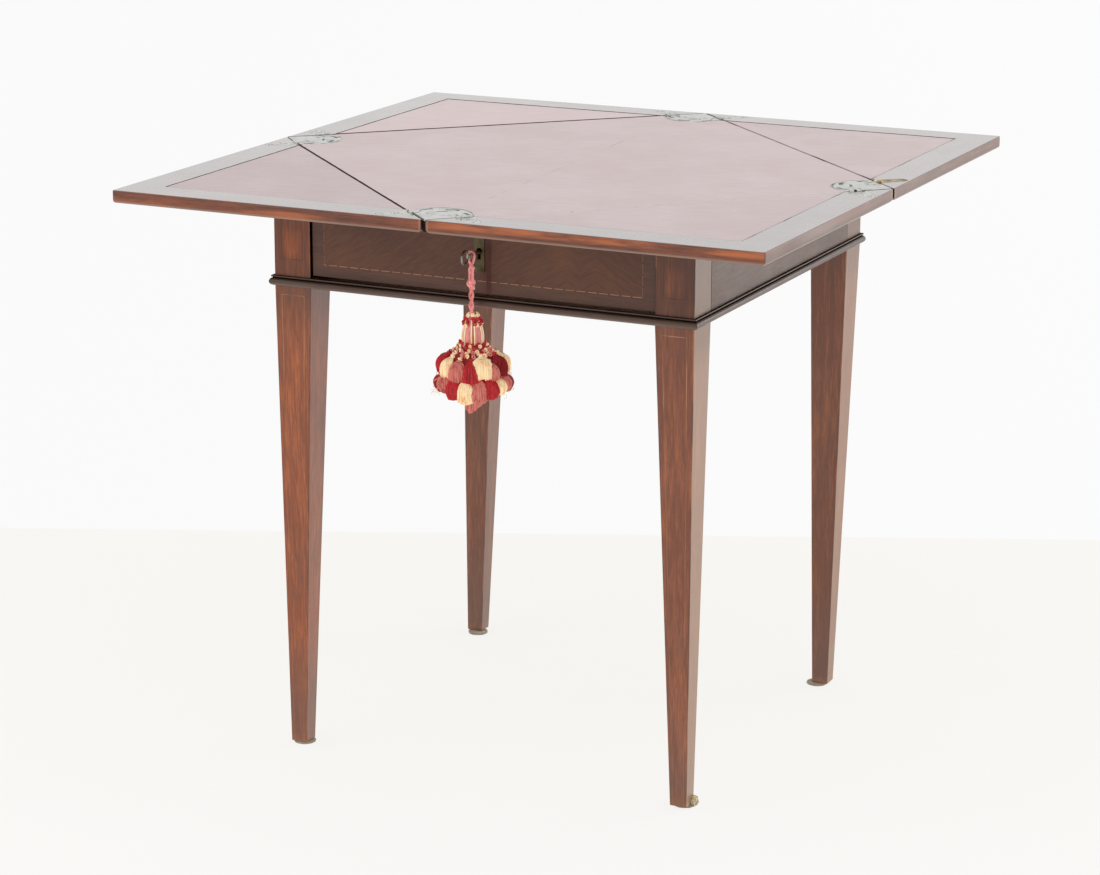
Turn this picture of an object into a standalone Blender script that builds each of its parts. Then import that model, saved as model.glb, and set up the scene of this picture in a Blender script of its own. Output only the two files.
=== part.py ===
"""Envelope card table: four leaves fold out like an envelope from a top that swivels on a square stand.

Metres, +Z up. The origin is on the floor under the middle of the table, and the drawer faces -Y.
The table is modelled open: the top stands turned from its closed place, with its leaves out flat.
"""

import math

import bmesh
import bpy
from mathutils import Matrix, Vector

# Clearances and cuts
SEAT_GAP = 0.0003
OVERRUN = 0.003
WELD = 0.00001

# Top and leaves
PANEL_SIDE = 0.605
TOP_HEIGHT = 0.745
BOARD_THICK = 0.016
SEAM_GAP = 0.0015
LEAF_TRIM = 0.0005
LEAF_TIP_GAP = 0.005
LEAF_TIP_ROUND = 0.008
PANEL_CORNER_CUT = 0.004
UNDER_ROUND = 0.004
UPPER_ROUND = 0.0015
LEAF_POINT_ROUND = 0.003
BAIZE_THICK = 0.001
BORDER_WIDTH = 0.048
ROUND_FACETS = 3
OPEN_TURN = math.radians(45)
QUARTERS = ("right", "back", "left", "front")

# Corner hinges
PIN_RISE = 0.0004
PLATE_THICK = 0.0018
FAN_SIDE = 0.061
FAN_REACH = 0.081
TONGUE_PLACE = 0.0505
TONGUE_ROOT_WIDTH = 0.025
TONGUE_TIP_RADIUS = 0.009
TONGUE_REACH = 0.042
BARREL_RADIUS = 0.0021
PIN_RADIUS = 0.0009
PIN_CLEARANCE = 0.0003
BARREL_LENGTH = 0.02
MIDDLE_BARREL_LENGTH = 0.008
BARREL_SIDES = 12

# Pivot of the top
PIVOT_PLATE_RADIUS = 0.05
PIVOT_PLATE_THICK = 0.003
STUD_RADIUS = 0.005
STUD_CLEARANCE = 0.0005
STUD_TAIL = 0.0015
STOP_STUD_RADIUS = 0.004
STOP_STUD_LENGTH = 0.01
STOP_STUD_CIRCLE = 0.038
WASHER_RADIUS = 0.014
WASHER_THICK = 0.0015
NUT_ACROSS = 0.016
NUT_THICK = 0.0055
PIVOT_BOARD_WIDTH = 0.12
PIVOT_BOARD_THICK = 0.014
SLOT_STEPS = 10
PIVOT_SIDES = 32

# Stand
BASE_SIDE = 0.568
FRIEZE_HEIGHT = 0.1162
LEG_BLOCK = 0.051
LEG_FOOT = 0.0225
LEG_ARRIS = 0.001
PAD_RADIUS = 0.0142
PAD_THICK = 0.003
PAD_SIDES = 28
# The old legs stand out of true, and each pad has slipped on its foot by these shares of its radius
FOOT_SHIFTS = {
    ("front", "left"): (-0.012, 0.002),
    ("front", "right"): (0.0055, 0.0035),
    ("back", "left"): (-0.011, -0.0075),
    ("back", "right"): (0.0, -0.007),
}
PAD_SHIFT_SHARES = {
    ("front", "left"): (0.09, 0.14),
    ("front", "right"): (0.07, 0.56),
    ("back", "left"): (0.28, -0.6),
    ("back", "right"): (-0.46, -0.28),
}
APRON_THICK = 0.018
RAIL_DEPTH = 0.045
TOP_RAIL_THICK = 0.0145

# Moulding round the foot of the frieze
MOULD_HEIGHT = 0.013
MOULD_OUT = 0.0055
BEAD_HEIGHT = 0.0104
GROOVE_OUT = 0.0018
FILLET_HEIGHT = 0.0018
FILLET_OUT = 0.0032
BEAD_STEPS = 8

# Drawer
DRAWER_RECESS = 0.004
DRAWER_END_GAP = 0.0016
DRAWER_TOP_GAP = 0.0015
DRAWER_UNDER_GAP = 0.003
DRAWER_FRONT_THICK = 0.02
DRAWER_REAR_GAP = 0.046
DRAWER_SIDE_THICK = 0.009
DRAWER_SIDE_INSET = 0.0015
DRAWER_BACK_DROP = 0.006
DRAWER_BOTTOM_THICK = 0.005
DRAWER_BOTTOM_RISE = 0.006
RUNNER_REACH = 0.045
GUIDE_HEIGHT = 0.02
GUIDE_CLEARANCE = 0.001
KICKER_THICK = 0.0159
KICKER_CLEARANCE = 0.002

# Lock, escutcheon and key
KEY_DROP = 0.033
CASE_WIDTH = 0.044
CASE_HEIGHT = 0.045
CASE_THICK = 0.01
WARD_RADIUS = 0.0095
WARD_DEPTH = 0.007
BOLT_WIDTH = 0.016
BOLT_THICK = 0.004
BOLT_HEIGHT = 0.016
BOLT_THROW = 0.006
BOLT_CLEARANCE = 0.0003
BOLT_ARRIS = 0.0004
MORTISE_CLEARANCE = 0.001
PLATE_WIDTH = 0.014
PLATE_HEIGHT = 0.05
PLATE_CORNER = 0.002
ESCUTCHEON_THICK = 0.0014
KEYHOLE_RADIUS = 0.0038
KEYHOLE_RISE = 0.0014
KEYHOLE_SLOT = 0.0044
KEYHOLE_DROP = 0.0089
SHANK_RADIUS = 0.0024
COLLAR_RADIUS = 0.0038
COLLAR_LENGTH = 0.0024
BOW_STANDOFF = 0.04
BOW_RADIUS = 0.0094
BOW_WIRE = 0.0028
BIT_LENGTH = 0.005
BIT_REACH = 0.0078
BIT_THICK = 0.002
BIT_INSET = 0.001
KEY_SIDES = 16

# Tassel on the key
CORD_STANDOFF = 0.023
CORD_RADIUS = 0.0017
CORD_GAP = 0.0004
CORD_SPREAD = 0.0023
TASSEL_DROP = 0.077
COLLAR_RUFF_RADIUS = 0.0118
COLLAR_RUFF_HEIGHT = 0.0115
HEAD_RADIUS = 0.014
HEAD_HEIGHT = 0.0195
LOWER_RUFF_RADIUS = 0.019
LOWER_RUFF_HEIGHT = 0.0105
UPPER_SKIRT_RADIUS = 0.046
UPPER_SKIRT_HEIGHT = 0.0275
LOWER_SKIRT_RADIUS = 0.0498
LOWER_SKIRT_HEIGHT = 0.0255
TIP_LENGTH = 0.024
TUFTS = 9
TUFT_STEPS = 6
TUFT_DEPTH_SHARE = 0.09
TIP_WIDTH_SHARE = 0.75
SKIRT_FULLNESS = 0.5

# Heights and faces that several pieces share
BASE_HALF = BASE_SIDE / 2
BASE_TOP = TOP_HEIGHT - BOARD_THICK - SEAT_GAP
FRIEZE_BOTTOM = BASE_TOP - FRIEZE_HEIGHT
RAIL_HALF = BASE_HALF - LEG_BLOCK - SEAT_GAP
APRON_INNER = BASE_HALF - APRON_THICK
SEAM_EDGE = SEAM_GAP / 2
PANEL_HALF = PANEL_SIDE / 2
PIN_HEIGHT = TOP_HEIGHT + PIN_RISE
TOP_RAIL_UNDER = BASE_TOP - TOP_RAIL_THICK
FRONT_FACE = -BASE_HALF + DRAWER_RECESS
FRONT_BACK = FRONT_FACE + DRAWER_FRONT_THICK
FRONT_HALF = BASE_HALF - LEG_BLOCK - DRAWER_END_GAP
FRONT_LOW = FRIEZE_BOTTOM + MOULD_HEIGHT + DRAWER_UNDER_GAP
FRONT_HIGH = TOP_RAIL_UNDER - DRAWER_TOP_GAP
SIDE_OUTER = FRONT_HALF - DRAWER_SIDE_INSET
KICKER_HIGH = BASE_TOP - PIVOT_BOARD_THICK - SEAT_GAP
KICKER_LOW = KICKER_HIGH - KICKER_THICK
SIDE_TOP = KICKER_LOW - KICKER_CLEARANCE
DRAWER_SIDE_HEIGHT = SIDE_TOP - FRONT_LOW
DRAWER_LENGTH = APRON_INNER - DRAWER_REAR_GAP - FRONT_FACE
KEY_HEIGHT = FRONT_HIGH - KEY_DROP
CORD_FACE = FRONT_FACE - CORD_STANDOFF

MATERIALS = {}


# Helpers for objects and meshes


def shade(red, green, blue):
    """A screen colour from 0 to 255 as the shader's linear one."""
    return tuple(((c / 255 + 0.055) / 1.055) ** 2.4 for c in (red, green, blue)) + (1.0,)


def finish(name, colour, roughness, metallic=0.0):
    material = bpy.data.materials.new(name)
    material.use_nodes = True
    surface = material.node_tree.nodes["Principled BSDF"]
    surface.inputs["Base Color"].default_value = shade(*colour)
    surface.inputs["Roughness"].default_value = roughness
    surface.inputs["Metallic"].default_value = metallic
    material.diffuse_color = shade(*colour)
    MATERIALS[name] = material


def collection(name):
    made = bpy.data.collections.new(name)
    bpy.context.scene.collection.children.link(made)
    return made


def add(name, mesh, material, parent=None, place=(0, 0, 0), turn=(0, 0, 0)):
    """One piece of the table: an object with its own material, placed under its parent."""
    piece = bpy.data.objects.new(name, mesh)
    TABLE.objects.link(piece)
    piece.parent = parent
    piece.location = place
    piece.rotation_euler = turn
    if not mesh.materials:
        mesh.materials.append(MATERIALS[material])
    return piece


def tool(name, mesh, parent=None, place=(0, 0, 0), turn=(0, 0, 0)):
    """A cutter, or a shape that is joined to a piece: it isn't a piece itself."""
    helper = bpy.data.objects.new(name, mesh)
    TOOLS.objects.link(helper)
    helper.parent = parent
    helper.location = place
    helper.rotation_euler = turn
    helper.hide_render = True
    helper.display_type = "WIRE"
    return helper


def axis_frame(name, parent=None, place=(0, 0, 0), turn=(0, 0, 0)):
    """An empty on a joint's axis, which carries the pieces that move together."""
    frame = bpy.data.objects.new(name, None)
    TABLE.objects.link(frame)
    frame.parent = parent
    frame.location = place
    frame.rotation_euler = turn
    return frame


def combine(piece, helpers, operation):
    for helper in helpers:
        step = piece.modifiers.new(helper.name, "BOOLEAN")
        step.operation = operation
        step.object = helper
        step.solver = "EXACT"


def cut(piece, *helpers):
    combine(piece, helpers, "DIFFERENCE")


def join(piece, *helpers):
    combine(piece, helpers, "UNION")


def baked(piece):
    """The piece's mesh with its modifiers worked out, for copies that share it."""
    graph = bpy.context.evaluated_depsgraph_get()
    return bpy.data.meshes.new_from_object(piece.evaluated_get(graph))


def to_mesh(name, bm, smooth=False):
    mesh = bpy.data.meshes.new(name)
    bm.to_mesh(mesh)
    bm.free()
    if smooth:
        mesh.shade_smooth()
        mesh.set_sharp_from_angle(angle=math.radians(35))
    return mesh


def box(name, low, high, arris=0.0):
    """A block between two corners, with its edges eased by arris."""
    bm = bmesh.new()
    bmesh.ops.create_cube(bm, size=1)
    size = Vector(high) - Vector(low)
    centre = (Vector(high) + Vector(low)) / 2
    place = Matrix.Translation(centre) @ Matrix.Diagonal(size.to_4d())
    bmesh.ops.transform(bm, matrix=place, verts=bm.verts)
    if arris:
        bmesh.ops.bevel(bm, geom=bm.edges[:], offset=arris, segments=1, affect="EDGES", material=-1)
    return to_mesh(name, bm)


def cylinder(name, radius, low, high, sides=24):
    """An upright cylinder from height low to height high."""
    bm = bmesh.new()
    bmesh.ops.create_cone(
        bm, cap_ends=True, segments=sides, radius1=radius, radius2=radius, depth=high - low,
        matrix=Matrix.Translation((0, 0, (low + high) / 2)),
    )
    return to_mesh(name, bm, smooth=True)


def turned(piece, steps):
    """Turns a profile, a line of points from top to bottom, about the piece's own Z axis."""
    screw = piece.modifiers.new("turned", "SCREW")
    screw.steps = steps
    screw.render_steps = steps
    screw.use_merge_vertices = True
    screw.merge_threshold = WELD
    screw.use_smooth_shade = False


def profile_mesh(name, points):
    """Points (radius, height) joined in a line, ready to be turned."""
    bm = bmesh.new()
    verts = [bm.verts.new((radius, 0, height)) for radius, height in points]
    for first, second in zip(verts, verts[1:]):
        bm.edges.new((first, second))
    return to_mesh(name, bm)


def prism(name, outline, depth):
    """A flat outline as a closed slab, from height 0 down to -depth."""
    curve = bpy.data.curves.new(name, "CURVE")
    curve.dimensions = "2D"
    curve.fill_mode = "BOTH"
    curve.extrude = depth / 2
    spline = curve.splines.new("POLY")
    spline.points.add(len(outline) - 1)
    for point, (x, y) in zip(spline.points, outline):
        point.co = (x, y, 0, 1)
    spline.use_cyclic_u = True
    flat = bpy.data.objects.new(name, curve)
    bpy.context.scene.collection.objects.link(flat)
    mesh = baked(flat)
    bpy.data.objects.remove(flat)
    bm = bmesh.new()
    bm.from_mesh(mesh)
    bmesh.ops.remove_doubles(bm, verts=bm.verts, dist=WELD)
    bmesh.ops.recalc_face_normals(bm, faces=bm.faces)
    bmesh.ops.translate(bm, verts=bm.verts, vec=(0, 0, -depth / 2))
    return to_mesh(name, bm)


def slice_off(bm, point, normal):
    """Cuts away what lies beyond a plane, and closes the cut."""
    geometry = bm.verts[:] + bm.edges[:] + bm.faces[:]
    made = bmesh.ops.bisect_plane(bm, geom=geometry, plane_co=point, plane_no=normal, clear_outer=True)
    edges = [part for part in made["geom_cut"] if isinstance(part, bmesh.types.BMEdge)]
    if edges:
        bmesh.ops.edgeloop_fill(bm, edges=edges)


def board(name, sides, low, high, under=0.0, upper=0.0):
    """A flat board with straight sides, each one (direction, distance, whether its upper edge is rounded)."""
    reach = 4 * max(side[1] for side in sides)
    bm = bmesh.new()
    bmesh.ops.create_cube(bm, size=1)
    shape = Matrix.Translation((0, 0, (low + high) / 2)) @ Matrix.Diagonal((reach, reach, high - low, 1))
    bmesh.ops.transform(bm, matrix=shape, verts=bm.verts)
    for angle, distance, *_ in sides:
        outward = Vector((math.cos(angle), math.sin(angle), 0))
        slice_off(bm, outward * distance, outward)
    # A side may have a rounding of its own underneath, after the other three
    for angle, distance, rounded, *own in sides:
        outward = Vector((math.cos(angle), math.sin(angle), 0))
        below = own[0] if own else under
        for radius, height, up in ((below, low, -1), (upper if rounded else 0, high, 1)):
            middle = outward * (distance - radius) + Vector((0, 0, height - up * radius))
            for facet in range(ROUND_FACETS if radius else 0):
                lean = math.pi / 2 * (facet + 0.5) / ROUND_FACETS
                normal = outward * math.cos(lean) + Vector((0, 0, up * math.sin(lean)))
                slice_off(bm, middle + normal * radius, normal)
    bmesh.ops.remove_doubles(bm, verts=bm.verts, dist=WELD)
    bmesh.ops.recalc_face_normals(bm, faces=bm.faces)
    return to_mesh(name, bm)


def arc(centre, radius, start, end, steps):
    """Points on a round stretch of an outline, both ends included."""
    turns = [start + (end - start) * step / steps for step in range(steps + 1)]
    return [(centre[0] + radius * math.cos(turn), centre[1] + radius * math.sin(turn)) for turn in turns]


# Outlines of the hinge plates


def fan_outline(grow=0.0, beyond=0.0, root=PANEL_CORNER_CUT, steps=12):
    """The centre plate: its point at the panel's corner, +Y inwards, its straight sides along the seams."""
    lean = math.sqrt(0.5)
    inset = SEAM_EDGE - beyond

    def on_seam(side, along):
        return (side * (along - inset) * lean, (along + inset) * lean)

    start = root / lean - inset
    points = [on_seam(1, start), on_seam(1, FAN_SIDE + grow)]
    for step in range(1, steps):
        angle = math.pi / 4 - math.pi / 2 * step / steps
        reach = FAN_SIDE + (FAN_REACH - FAN_SIDE) * math.cos(2 * angle) + grow
        points.append((reach * math.sin(angle), reach * math.cos(angle)))
    return points + [on_seam(-1, FAN_SIDE + grow), on_seam(-1, start)]


def tongue_outline(grow=0.0, beyond=0.0, steps=8):
    """A leaf's hinge plate: its root on the seam about X = 0, +Y outwards."""
    root = TONGUE_ROOT_WIDTH / 2 + grow
    tip = TONGUE_TIP_RADIUS + grow
    rounded = arc((0, TONGUE_REACH - TONGUE_TIP_RADIUS), tip, 0, math.pi, steps)
    return [(root, SEAM_EDGE - beyond)] + rounded + [(-root, SEAM_EDGE - beyond)]


# Barrels of the hinges: each leaf's outer pair carries the pin, and the centre plate's turns on it

MIDDLE_END = (MIDDLE_BARREL_LENGTH - SEAT_GAP) / 2
OUTER_START = (MIDDLE_BARREL_LENGTH + SEAT_GAP) / 2
BARREL_END = BARREL_LENGTH / 2
SPACE_RADIUS = BARREL_RADIUS + PIN_CLEARANCE


def rod(name, radius, spans):
    """Round rods along X, one for each span (start, end)."""
    bm = bmesh.new()
    for start, end in spans:
        place = Matrix.Translation(((start + end) / 2, 0, 0)) @ Matrix.Rotation(math.pi / 2, 4, "Y")
        bmesh.ops.create_cone(
            bm, cap_ends=True, segments=BARREL_SIDES, radius1=radius, radius2=radius,
            depth=end - start, matrix=place,
        )
    return to_mesh(name, bm)


def leaf_spool():
    """The outer barrels and the pin between them, turned as one about Z."""
    heights = [BARREL_END, OUTER_START, -OUTER_START, -BARREL_END]
    radii = [BARREL_RADIUS, PIN_RADIUS, BARREL_RADIUS]
    points = [(0, heights[0])]
    for radius, high, low in zip(radii, heights, heights[1:]):
        points += [(radius, high), (radius, low)]
    return profile_mesh("spool", points + [(0, heights[-1])])


# The swivelling top. Its pieces are modelled square to X and Y, as they stand when it is closed.
# A leaf is named by its side then, and a corner plate by the edge that it is in the middle of when the top
# is open.

def make_top(top, hinges):
    low = TOP_HEIGHT - BOARD_THICK
    bed = TOP_HEIGHT - BAIZE_THICK - SEAT_GAP
    edge = PANEL_HALF - SEAM_EDGE
    corner = PANEL_HALF * math.sqrt(2) - PANEL_CORNER_CUT
    quarters = [math.pi / 2 * quarter for quarter in range(4)]
    sides = [(angle, edge, False) for angle in quarters]
    corners = [(angle + math.pi / 4, corner, False) for angle in quarters]
    slab = board("centre_panel", sides + corners, low, bed, UNDER_ROUND)
    panel = add("centre_panel", slab, "mahogany", top)
    baize = add("centre_baize", board("centre_baize", sides, bed + SEAT_GAP, TOP_HEIGHT), "baize", top)

    space_depth = PLATE_THICK + SEAT_GAP + OVERRUN
    fan_space = prism("fan_space", fan_outline(SEAT_GAP, OVERRUN, -OVERRUN), space_depth)
    barrel_space = rod("barrel_space", SPACE_RADIUS, barrel_spans())
    fan = fan_mesh()
    for quarter, angle in enumerate(quarters):
        pointing = angle - math.pi / 4
        away = PANEL_HALF * math.sqrt(2)
        place = Vector((away * math.cos(pointing), away * math.sin(pointing), TOP_HEIGHT))
        turn = (0, 0, pointing + math.pi / 2)
        name = QUARTERS[quarter]
        space = tool(f"fan_space_{name}", fan_space, top, place + Vector((0, 0, OVERRUN)), turn)
        cut(panel, space, tool(f"barrel_space_{name}", barrel_space, hinges[quarter]))
        cut(baize, space)
        add(f"corner_plate_{name}", fan, "hinge_metal", top, place, turn)

    high = low + PIVOT_PLATE_THICK
    radius = PIVOT_PLATE_RADIUS + SEAT_GAP
    recess = cylinder("pivot_recess", radius, low - OVERRUN, high + SEAT_GAP, PIVOT_SIDES)
    cut(panel, tool("pivot_recess", recess, top))
    make_pivot(top, low, high)


def fan_mesh():
    """A corner's centre plate, with a barrel on each seam for the leaves' pins."""
    plate = tool("fan_pattern", prism("fan", fan_outline(), PLATE_THICK))
    outer_spans = [(MIDDLE_END, BARREL_END + SEAT_GAP), (-BARREL_END - SEAT_GAP, -MIDDLE_END)]
    shapes = (
        ("outer_space", rod("outer_space", SPACE_RADIUS, outer_spans), cut),
        ("middle_barrel", rod("middle_barrel", BARREL_RADIUS, [(-MIDDLE_END, MIDDLE_END)]), join),
        ("pin_bore", rod("pin_bore", PIN_RADIUS + PIN_CLEARANCE, [(-OUTER_START, OUTER_START)]), cut),
    )
    for label, mesh, operation in shapes:
        for side, turn in ((1, math.pi / 4), (-1, -math.pi / 4)):
            along = TONGUE_PLACE * math.sqrt(0.5)
            place = (side * along, along, PIN_RISE)
            operation(plate, tool(f"{label}_{side}", mesh, None, place, (0, 0, turn)))
    return baked(plate)


def make_pivot(top, low, high):
    board_under = BASE_TOP - PIVOT_BOARD_THICK
    washer_top = board_under - SEAT_GAP
    nut_top = washer_top - WASHER_THICK - SEAT_GAP
    stud_end = nut_top - NUT_THICK - STUD_TAIL
    bore = STUD_RADIUS + STUD_CLEARANCE
    profile = [
        (0, high), (PIVOT_PLATE_RADIUS, high), (PIVOT_PLATE_RADIUS, low),
        (STUD_RADIUS, low), (STUD_RADIUS, stud_end), (0, stud_end),
    ]
    plate = add("pivot_plate", profile_mesh("pivot_plate", profile), "iron", top)
    turned(plate, PIVOT_SIDES)
    stop = cylinder("stop_stud", STOP_STUD_RADIUS, low - STOP_STUD_LENGTH, (low + high) / 2, KEY_SIDES)
    stop_place = (STOP_STUD_CIRCLE * math.cos(OPEN_TURN), -STOP_STUD_CIRCLE * math.sin(OPEN_TURN), 0)
    join(plate, tool("stop_stud", stop, top, stop_place))

    bore_tool = tool("stud_bore", cylinder("stud_bore", bore, stud_end, low, KEY_SIDES), top)
    washer = cylinder("pivot_washer", WASHER_RADIUS, washer_top - WASHER_THICK, washer_top)
    nut = cylinder("pivot_nut", NUT_ACROSS / math.sqrt(3), nut_top - NUT_THICK, nut_top, 6)
    cut(add("pivot_washer", washer, "iron", top), bore_tool)
    cut(add("pivot_nut", nut, "iron", top), bore_tool)


# The folding leaves

HINGE_MIDDLES = (PANEL_HALF - TONGUE_PLACE, TONGUE_PLACE - PANEL_HALF)


def barrel_spans(ends=BARREL_END + SEAT_GAP):
    """Where the two hinges' barrels lie along a leaf's seam, with room at their ends."""
    return [(middle - ends, middle + ends) for middle in HINGE_MIDDLES]


def leaf_sides(inwards=0.0, seam=SEAM_EDGE):
    """A leaf's seam, its two outer edges and the rounding of its point, in the hinge's frame."""
    edge = PANEL_HALF * math.sqrt(0.5) - LEAF_TRIM - inwards
    point = edge * math.sqrt(2)
    sides = [(-math.pi / 2, -seam, False), (math.pi / 4, edge, True), (math.pi * 3 / 4, edge, True)]
    if not inwards:
        middle = point - LEAF_POINT_ROUND * math.sqrt(2)
        tip = PANEL_HALF * math.sqrt(0.5) - LEAF_TIP_GAP / 2
        for angle in (math.pi * 3 / 8, math.pi / 2, math.pi * 5 / 8):
            sides.append((angle, middle * math.sin(angle) + LEAF_POINT_ROUND, True))
        sides += [(angle, tip, False, LEAF_TIP_ROUND) for angle in (-math.pi / 4, -math.pi * 3 / 4)]
    return sides


def make_leaves(hinges):
    surface = -PIN_RISE
    low = surface - BOARD_THICK
    bed = surface - BAIZE_THICK - SEAT_GAP
    pattern = tool("leaf_pattern", board("leaf", leaf_sides(), low, surface, UNDER_ROUND, UPPER_ROUND))
    baize = board("leaf_baize", leaf_sides(BORDER_WIDTH), bed + SEAT_GAP, surface)
    inner_sides = leaf_sides(BORDER_WIDTH - SEAT_GAP, -OVERRUN)
    baize_space = board("leaf_baize_space", inner_sides, bed, surface + OVERRUN)
    space_depth = PLATE_THICK + SEAT_GAP + OVERRUN
    tongue_space = prism("tongue_space", tongue_outline(SEAT_GAP, OVERRUN), space_depth)
    barrel_space = rod("leaf_barrel_space", SPACE_RADIUS, barrel_spans())
    cut(pattern, tool("leaf_baize_space", baize_space), tool("leaf_barrel_space", barrel_space))
    for number, middle in enumerate(HINGE_MIDDLES):
        cut(pattern, tool(f"tongue_space_{number}", tongue_space, None, (middle, 0, surface + OVERRUN)))
    leaf = baked(pattern)

    plate = tool("tongue_pattern", prism("tongue", tongue_outline(), PLATE_THICK), None, (0, 0, surface))
    middle_space = rod("middle_space", SPACE_RADIUS, [(-OUTER_START, OUTER_START)])
    spool = tool("spool", leaf_spool(), None, (0, 0, 0), (0, math.pi / 2, 0))
    turned(spool, BARREL_SIDES)
    cut(plate, tool("middle_space", middle_space))
    join(plate, spool)
    tongue = baked(plate)
    tongue.transform(Matrix.Translation((0, 0, surface)))

    for quarter, hinge in enumerate(hinges):
        name = QUARTERS[quarter]
        add(f"leaf_{name}", leaf, "mahogany", hinge)
        add(f"leaf_baize_{name}", baize, "baize", hinge)
        for number, middle in enumerate(HINGE_MIDDLES):
            add(f"leaf_plate_{name}_{number + 1}", tongue, "hinge_metal", hinge, (middle, 0, 0))


# The stand


def leg_mesh(shift):
    """A square block, drawn down from its underside to a small foot that stands a little to one side."""
    bm = bmesh.new()
    bmesh.ops.create_cube(bm, size=1)
    block = Matrix.Translation((0, 0, (FRIEZE_BOTTOM + BASE_TOP) / 2))
    block = block @ Matrix.Diagonal((LEG_BLOCK, LEG_BLOCK, BASE_TOP - FRIEZE_BOTTOM, 1))
    bmesh.ops.transform(bm, matrix=block, verts=bm.verts)
    under = [face for face in bm.faces if face.normal.z < -0.5]
    foot = bmesh.ops.extrude_discrete_faces(bm, faces=under)["faces"][0]
    share = LEG_FOOT / LEG_BLOCK
    bmesh.ops.scale(bm, verts=foot.verts, vec=(share, share, 1))
    drop = FRIEZE_BOTTOM - PAD_THICK - SEAT_GAP
    bmesh.ops.translate(bm, verts=foot.verts, vec=(*shift, -drop))
    edges = [edge for edge in bm.edges if edge.calc_face_angle(0) > math.radians(45)]
    bmesh.ops.bevel(bm, geom=edges, offset=LEG_ARRIS, segments=2, profile=0.5, affect="EDGES", material=-1)
    return to_mesh("leg", bm, smooth=True)


def make_legs():
    pad = cylinder("foot_pad", PAD_RADIUS, 0, PAD_THICK, PAD_SIDES)
    middle = BASE_HALF - LEG_BLOCK / 2
    for (depth, side), (across, along) in FOOT_SHIFTS.items():
        x = middle if side == "right" else -middle
        y = middle if depth == "back" else -middle
        add(f"leg_{depth}_{side}", leg_mesh((across, along)), "mahogany", None, (x, y, 0))
        slip_across, slip_along = PAD_SHIFT_SHARES[depth, side]
        place = (x + across + slip_across * PAD_RADIUS, y + along + slip_along * PAD_RADIUS, 0)
        add(f"foot_pad_{depth}_{side}", pad, "felt", None, place)


def make_frieze():
    low, high = FRIEZE_BOTTOM, BASE_TOP
    for name, inner, outer in (("right", APRON_INNER, BASE_HALF), ("left", -BASE_HALF, -APRON_INNER)):
        side = box(f"apron_{name}", (inner, -RAIL_HALF, low), (outer, RAIL_HALF, high))
        add(f"apron_{name}", side, "mahogany")
    back = box("apron_back", (-RAIL_HALF, APRON_INNER, low), (RAIL_HALF, BASE_HALF, high))
    add("apron_back", back, "mahogany")
    front, behind = -BASE_HALF, -BASE_HALF + RAIL_DEPTH
    upper = box("front_top_rail", (-RAIL_HALF, front, TOP_RAIL_UNDER), (RAIL_HALF, behind, high))
    lower = box("front_bottom_rail", (-RAIL_HALF, front, low), (RAIL_HALF, behind, low + MOULD_HEIGHT))
    rail = add("front_top_rail", upper, "mahogany")
    add("front_bottom_rail", lower, "mahogany")

    middle = FRONT_BACK - CASE_THICK / 2
    wide = BOLT_WIDTH / 2 + MORTISE_CLEARANCE
    deep = BOLT_THICK / 2 + MORTISE_CLEARANCE
    roof = FRONT_HIGH - SEAT_GAP + BOLT_THROW + MORTISE_CLEARANCE
    floor = TOP_RAIL_UNDER - OVERRUN
    mortise = box("bolt_mortise", (-wide, middle - deep, floor), (wide, middle + deep, roof))
    cut(rail, tool("bolt_mortise", mortise))


def moulding_profile():
    """Points (out, up): a bead, a groove over it and a fillet on top."""
    half = BEAD_HEIGHT / 2
    end = math.acos(GROOVE_OUT / MOULD_OUT)
    points = []
    for step in range(BEAD_STEPS + 1):
        angle = -math.pi / 2 + (end + math.pi / 2) * step / BEAD_STEPS
        points.append((MOULD_OUT * math.cos(angle), half * (1 + math.sin(angle))))
    fillet = MOULD_HEIGHT - FILLET_HEIGHT
    points += [(GROOVE_OUT, fillet), (FILLET_OUT, fillet)]
    return points + [(FILLET_OUT, MOULD_HEIGHT), (0, MOULD_HEIGHT)]


def make_moulding():
    """One mitred length on the right side, and the same turned to the other three."""
    length = 2 * (BASE_HALF + MOULD_OUT + OVERRUN)
    strip = prism("moulding", moulding_profile(), length)
    upright = Matrix.Translation((BASE_HALF + SEAT_GAP, -length / 2, FRIEZE_BOTTOM))
    strip.transform(upright @ Matrix.Rotation(math.pi / 2, 4, "X"))
    bm = bmesh.new()
    bm.from_mesh(strip)
    for side in (-1, 1):
        slice_off(bm, Vector((SEAT_GAP, 0, 0)), Vector((-1, side, 0)).normalized())
    bmesh.ops.recalc_face_normals(bm, faces=bm.faces)
    mitred = to_mesh("moulding_length", bm, smooth=True)
    for quarter, name in enumerate(QUARTERS):
        add(f"moulding_{name}", mitred, "mahogany", turn=(0, 0, math.pi / 2 * quarter))


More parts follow.
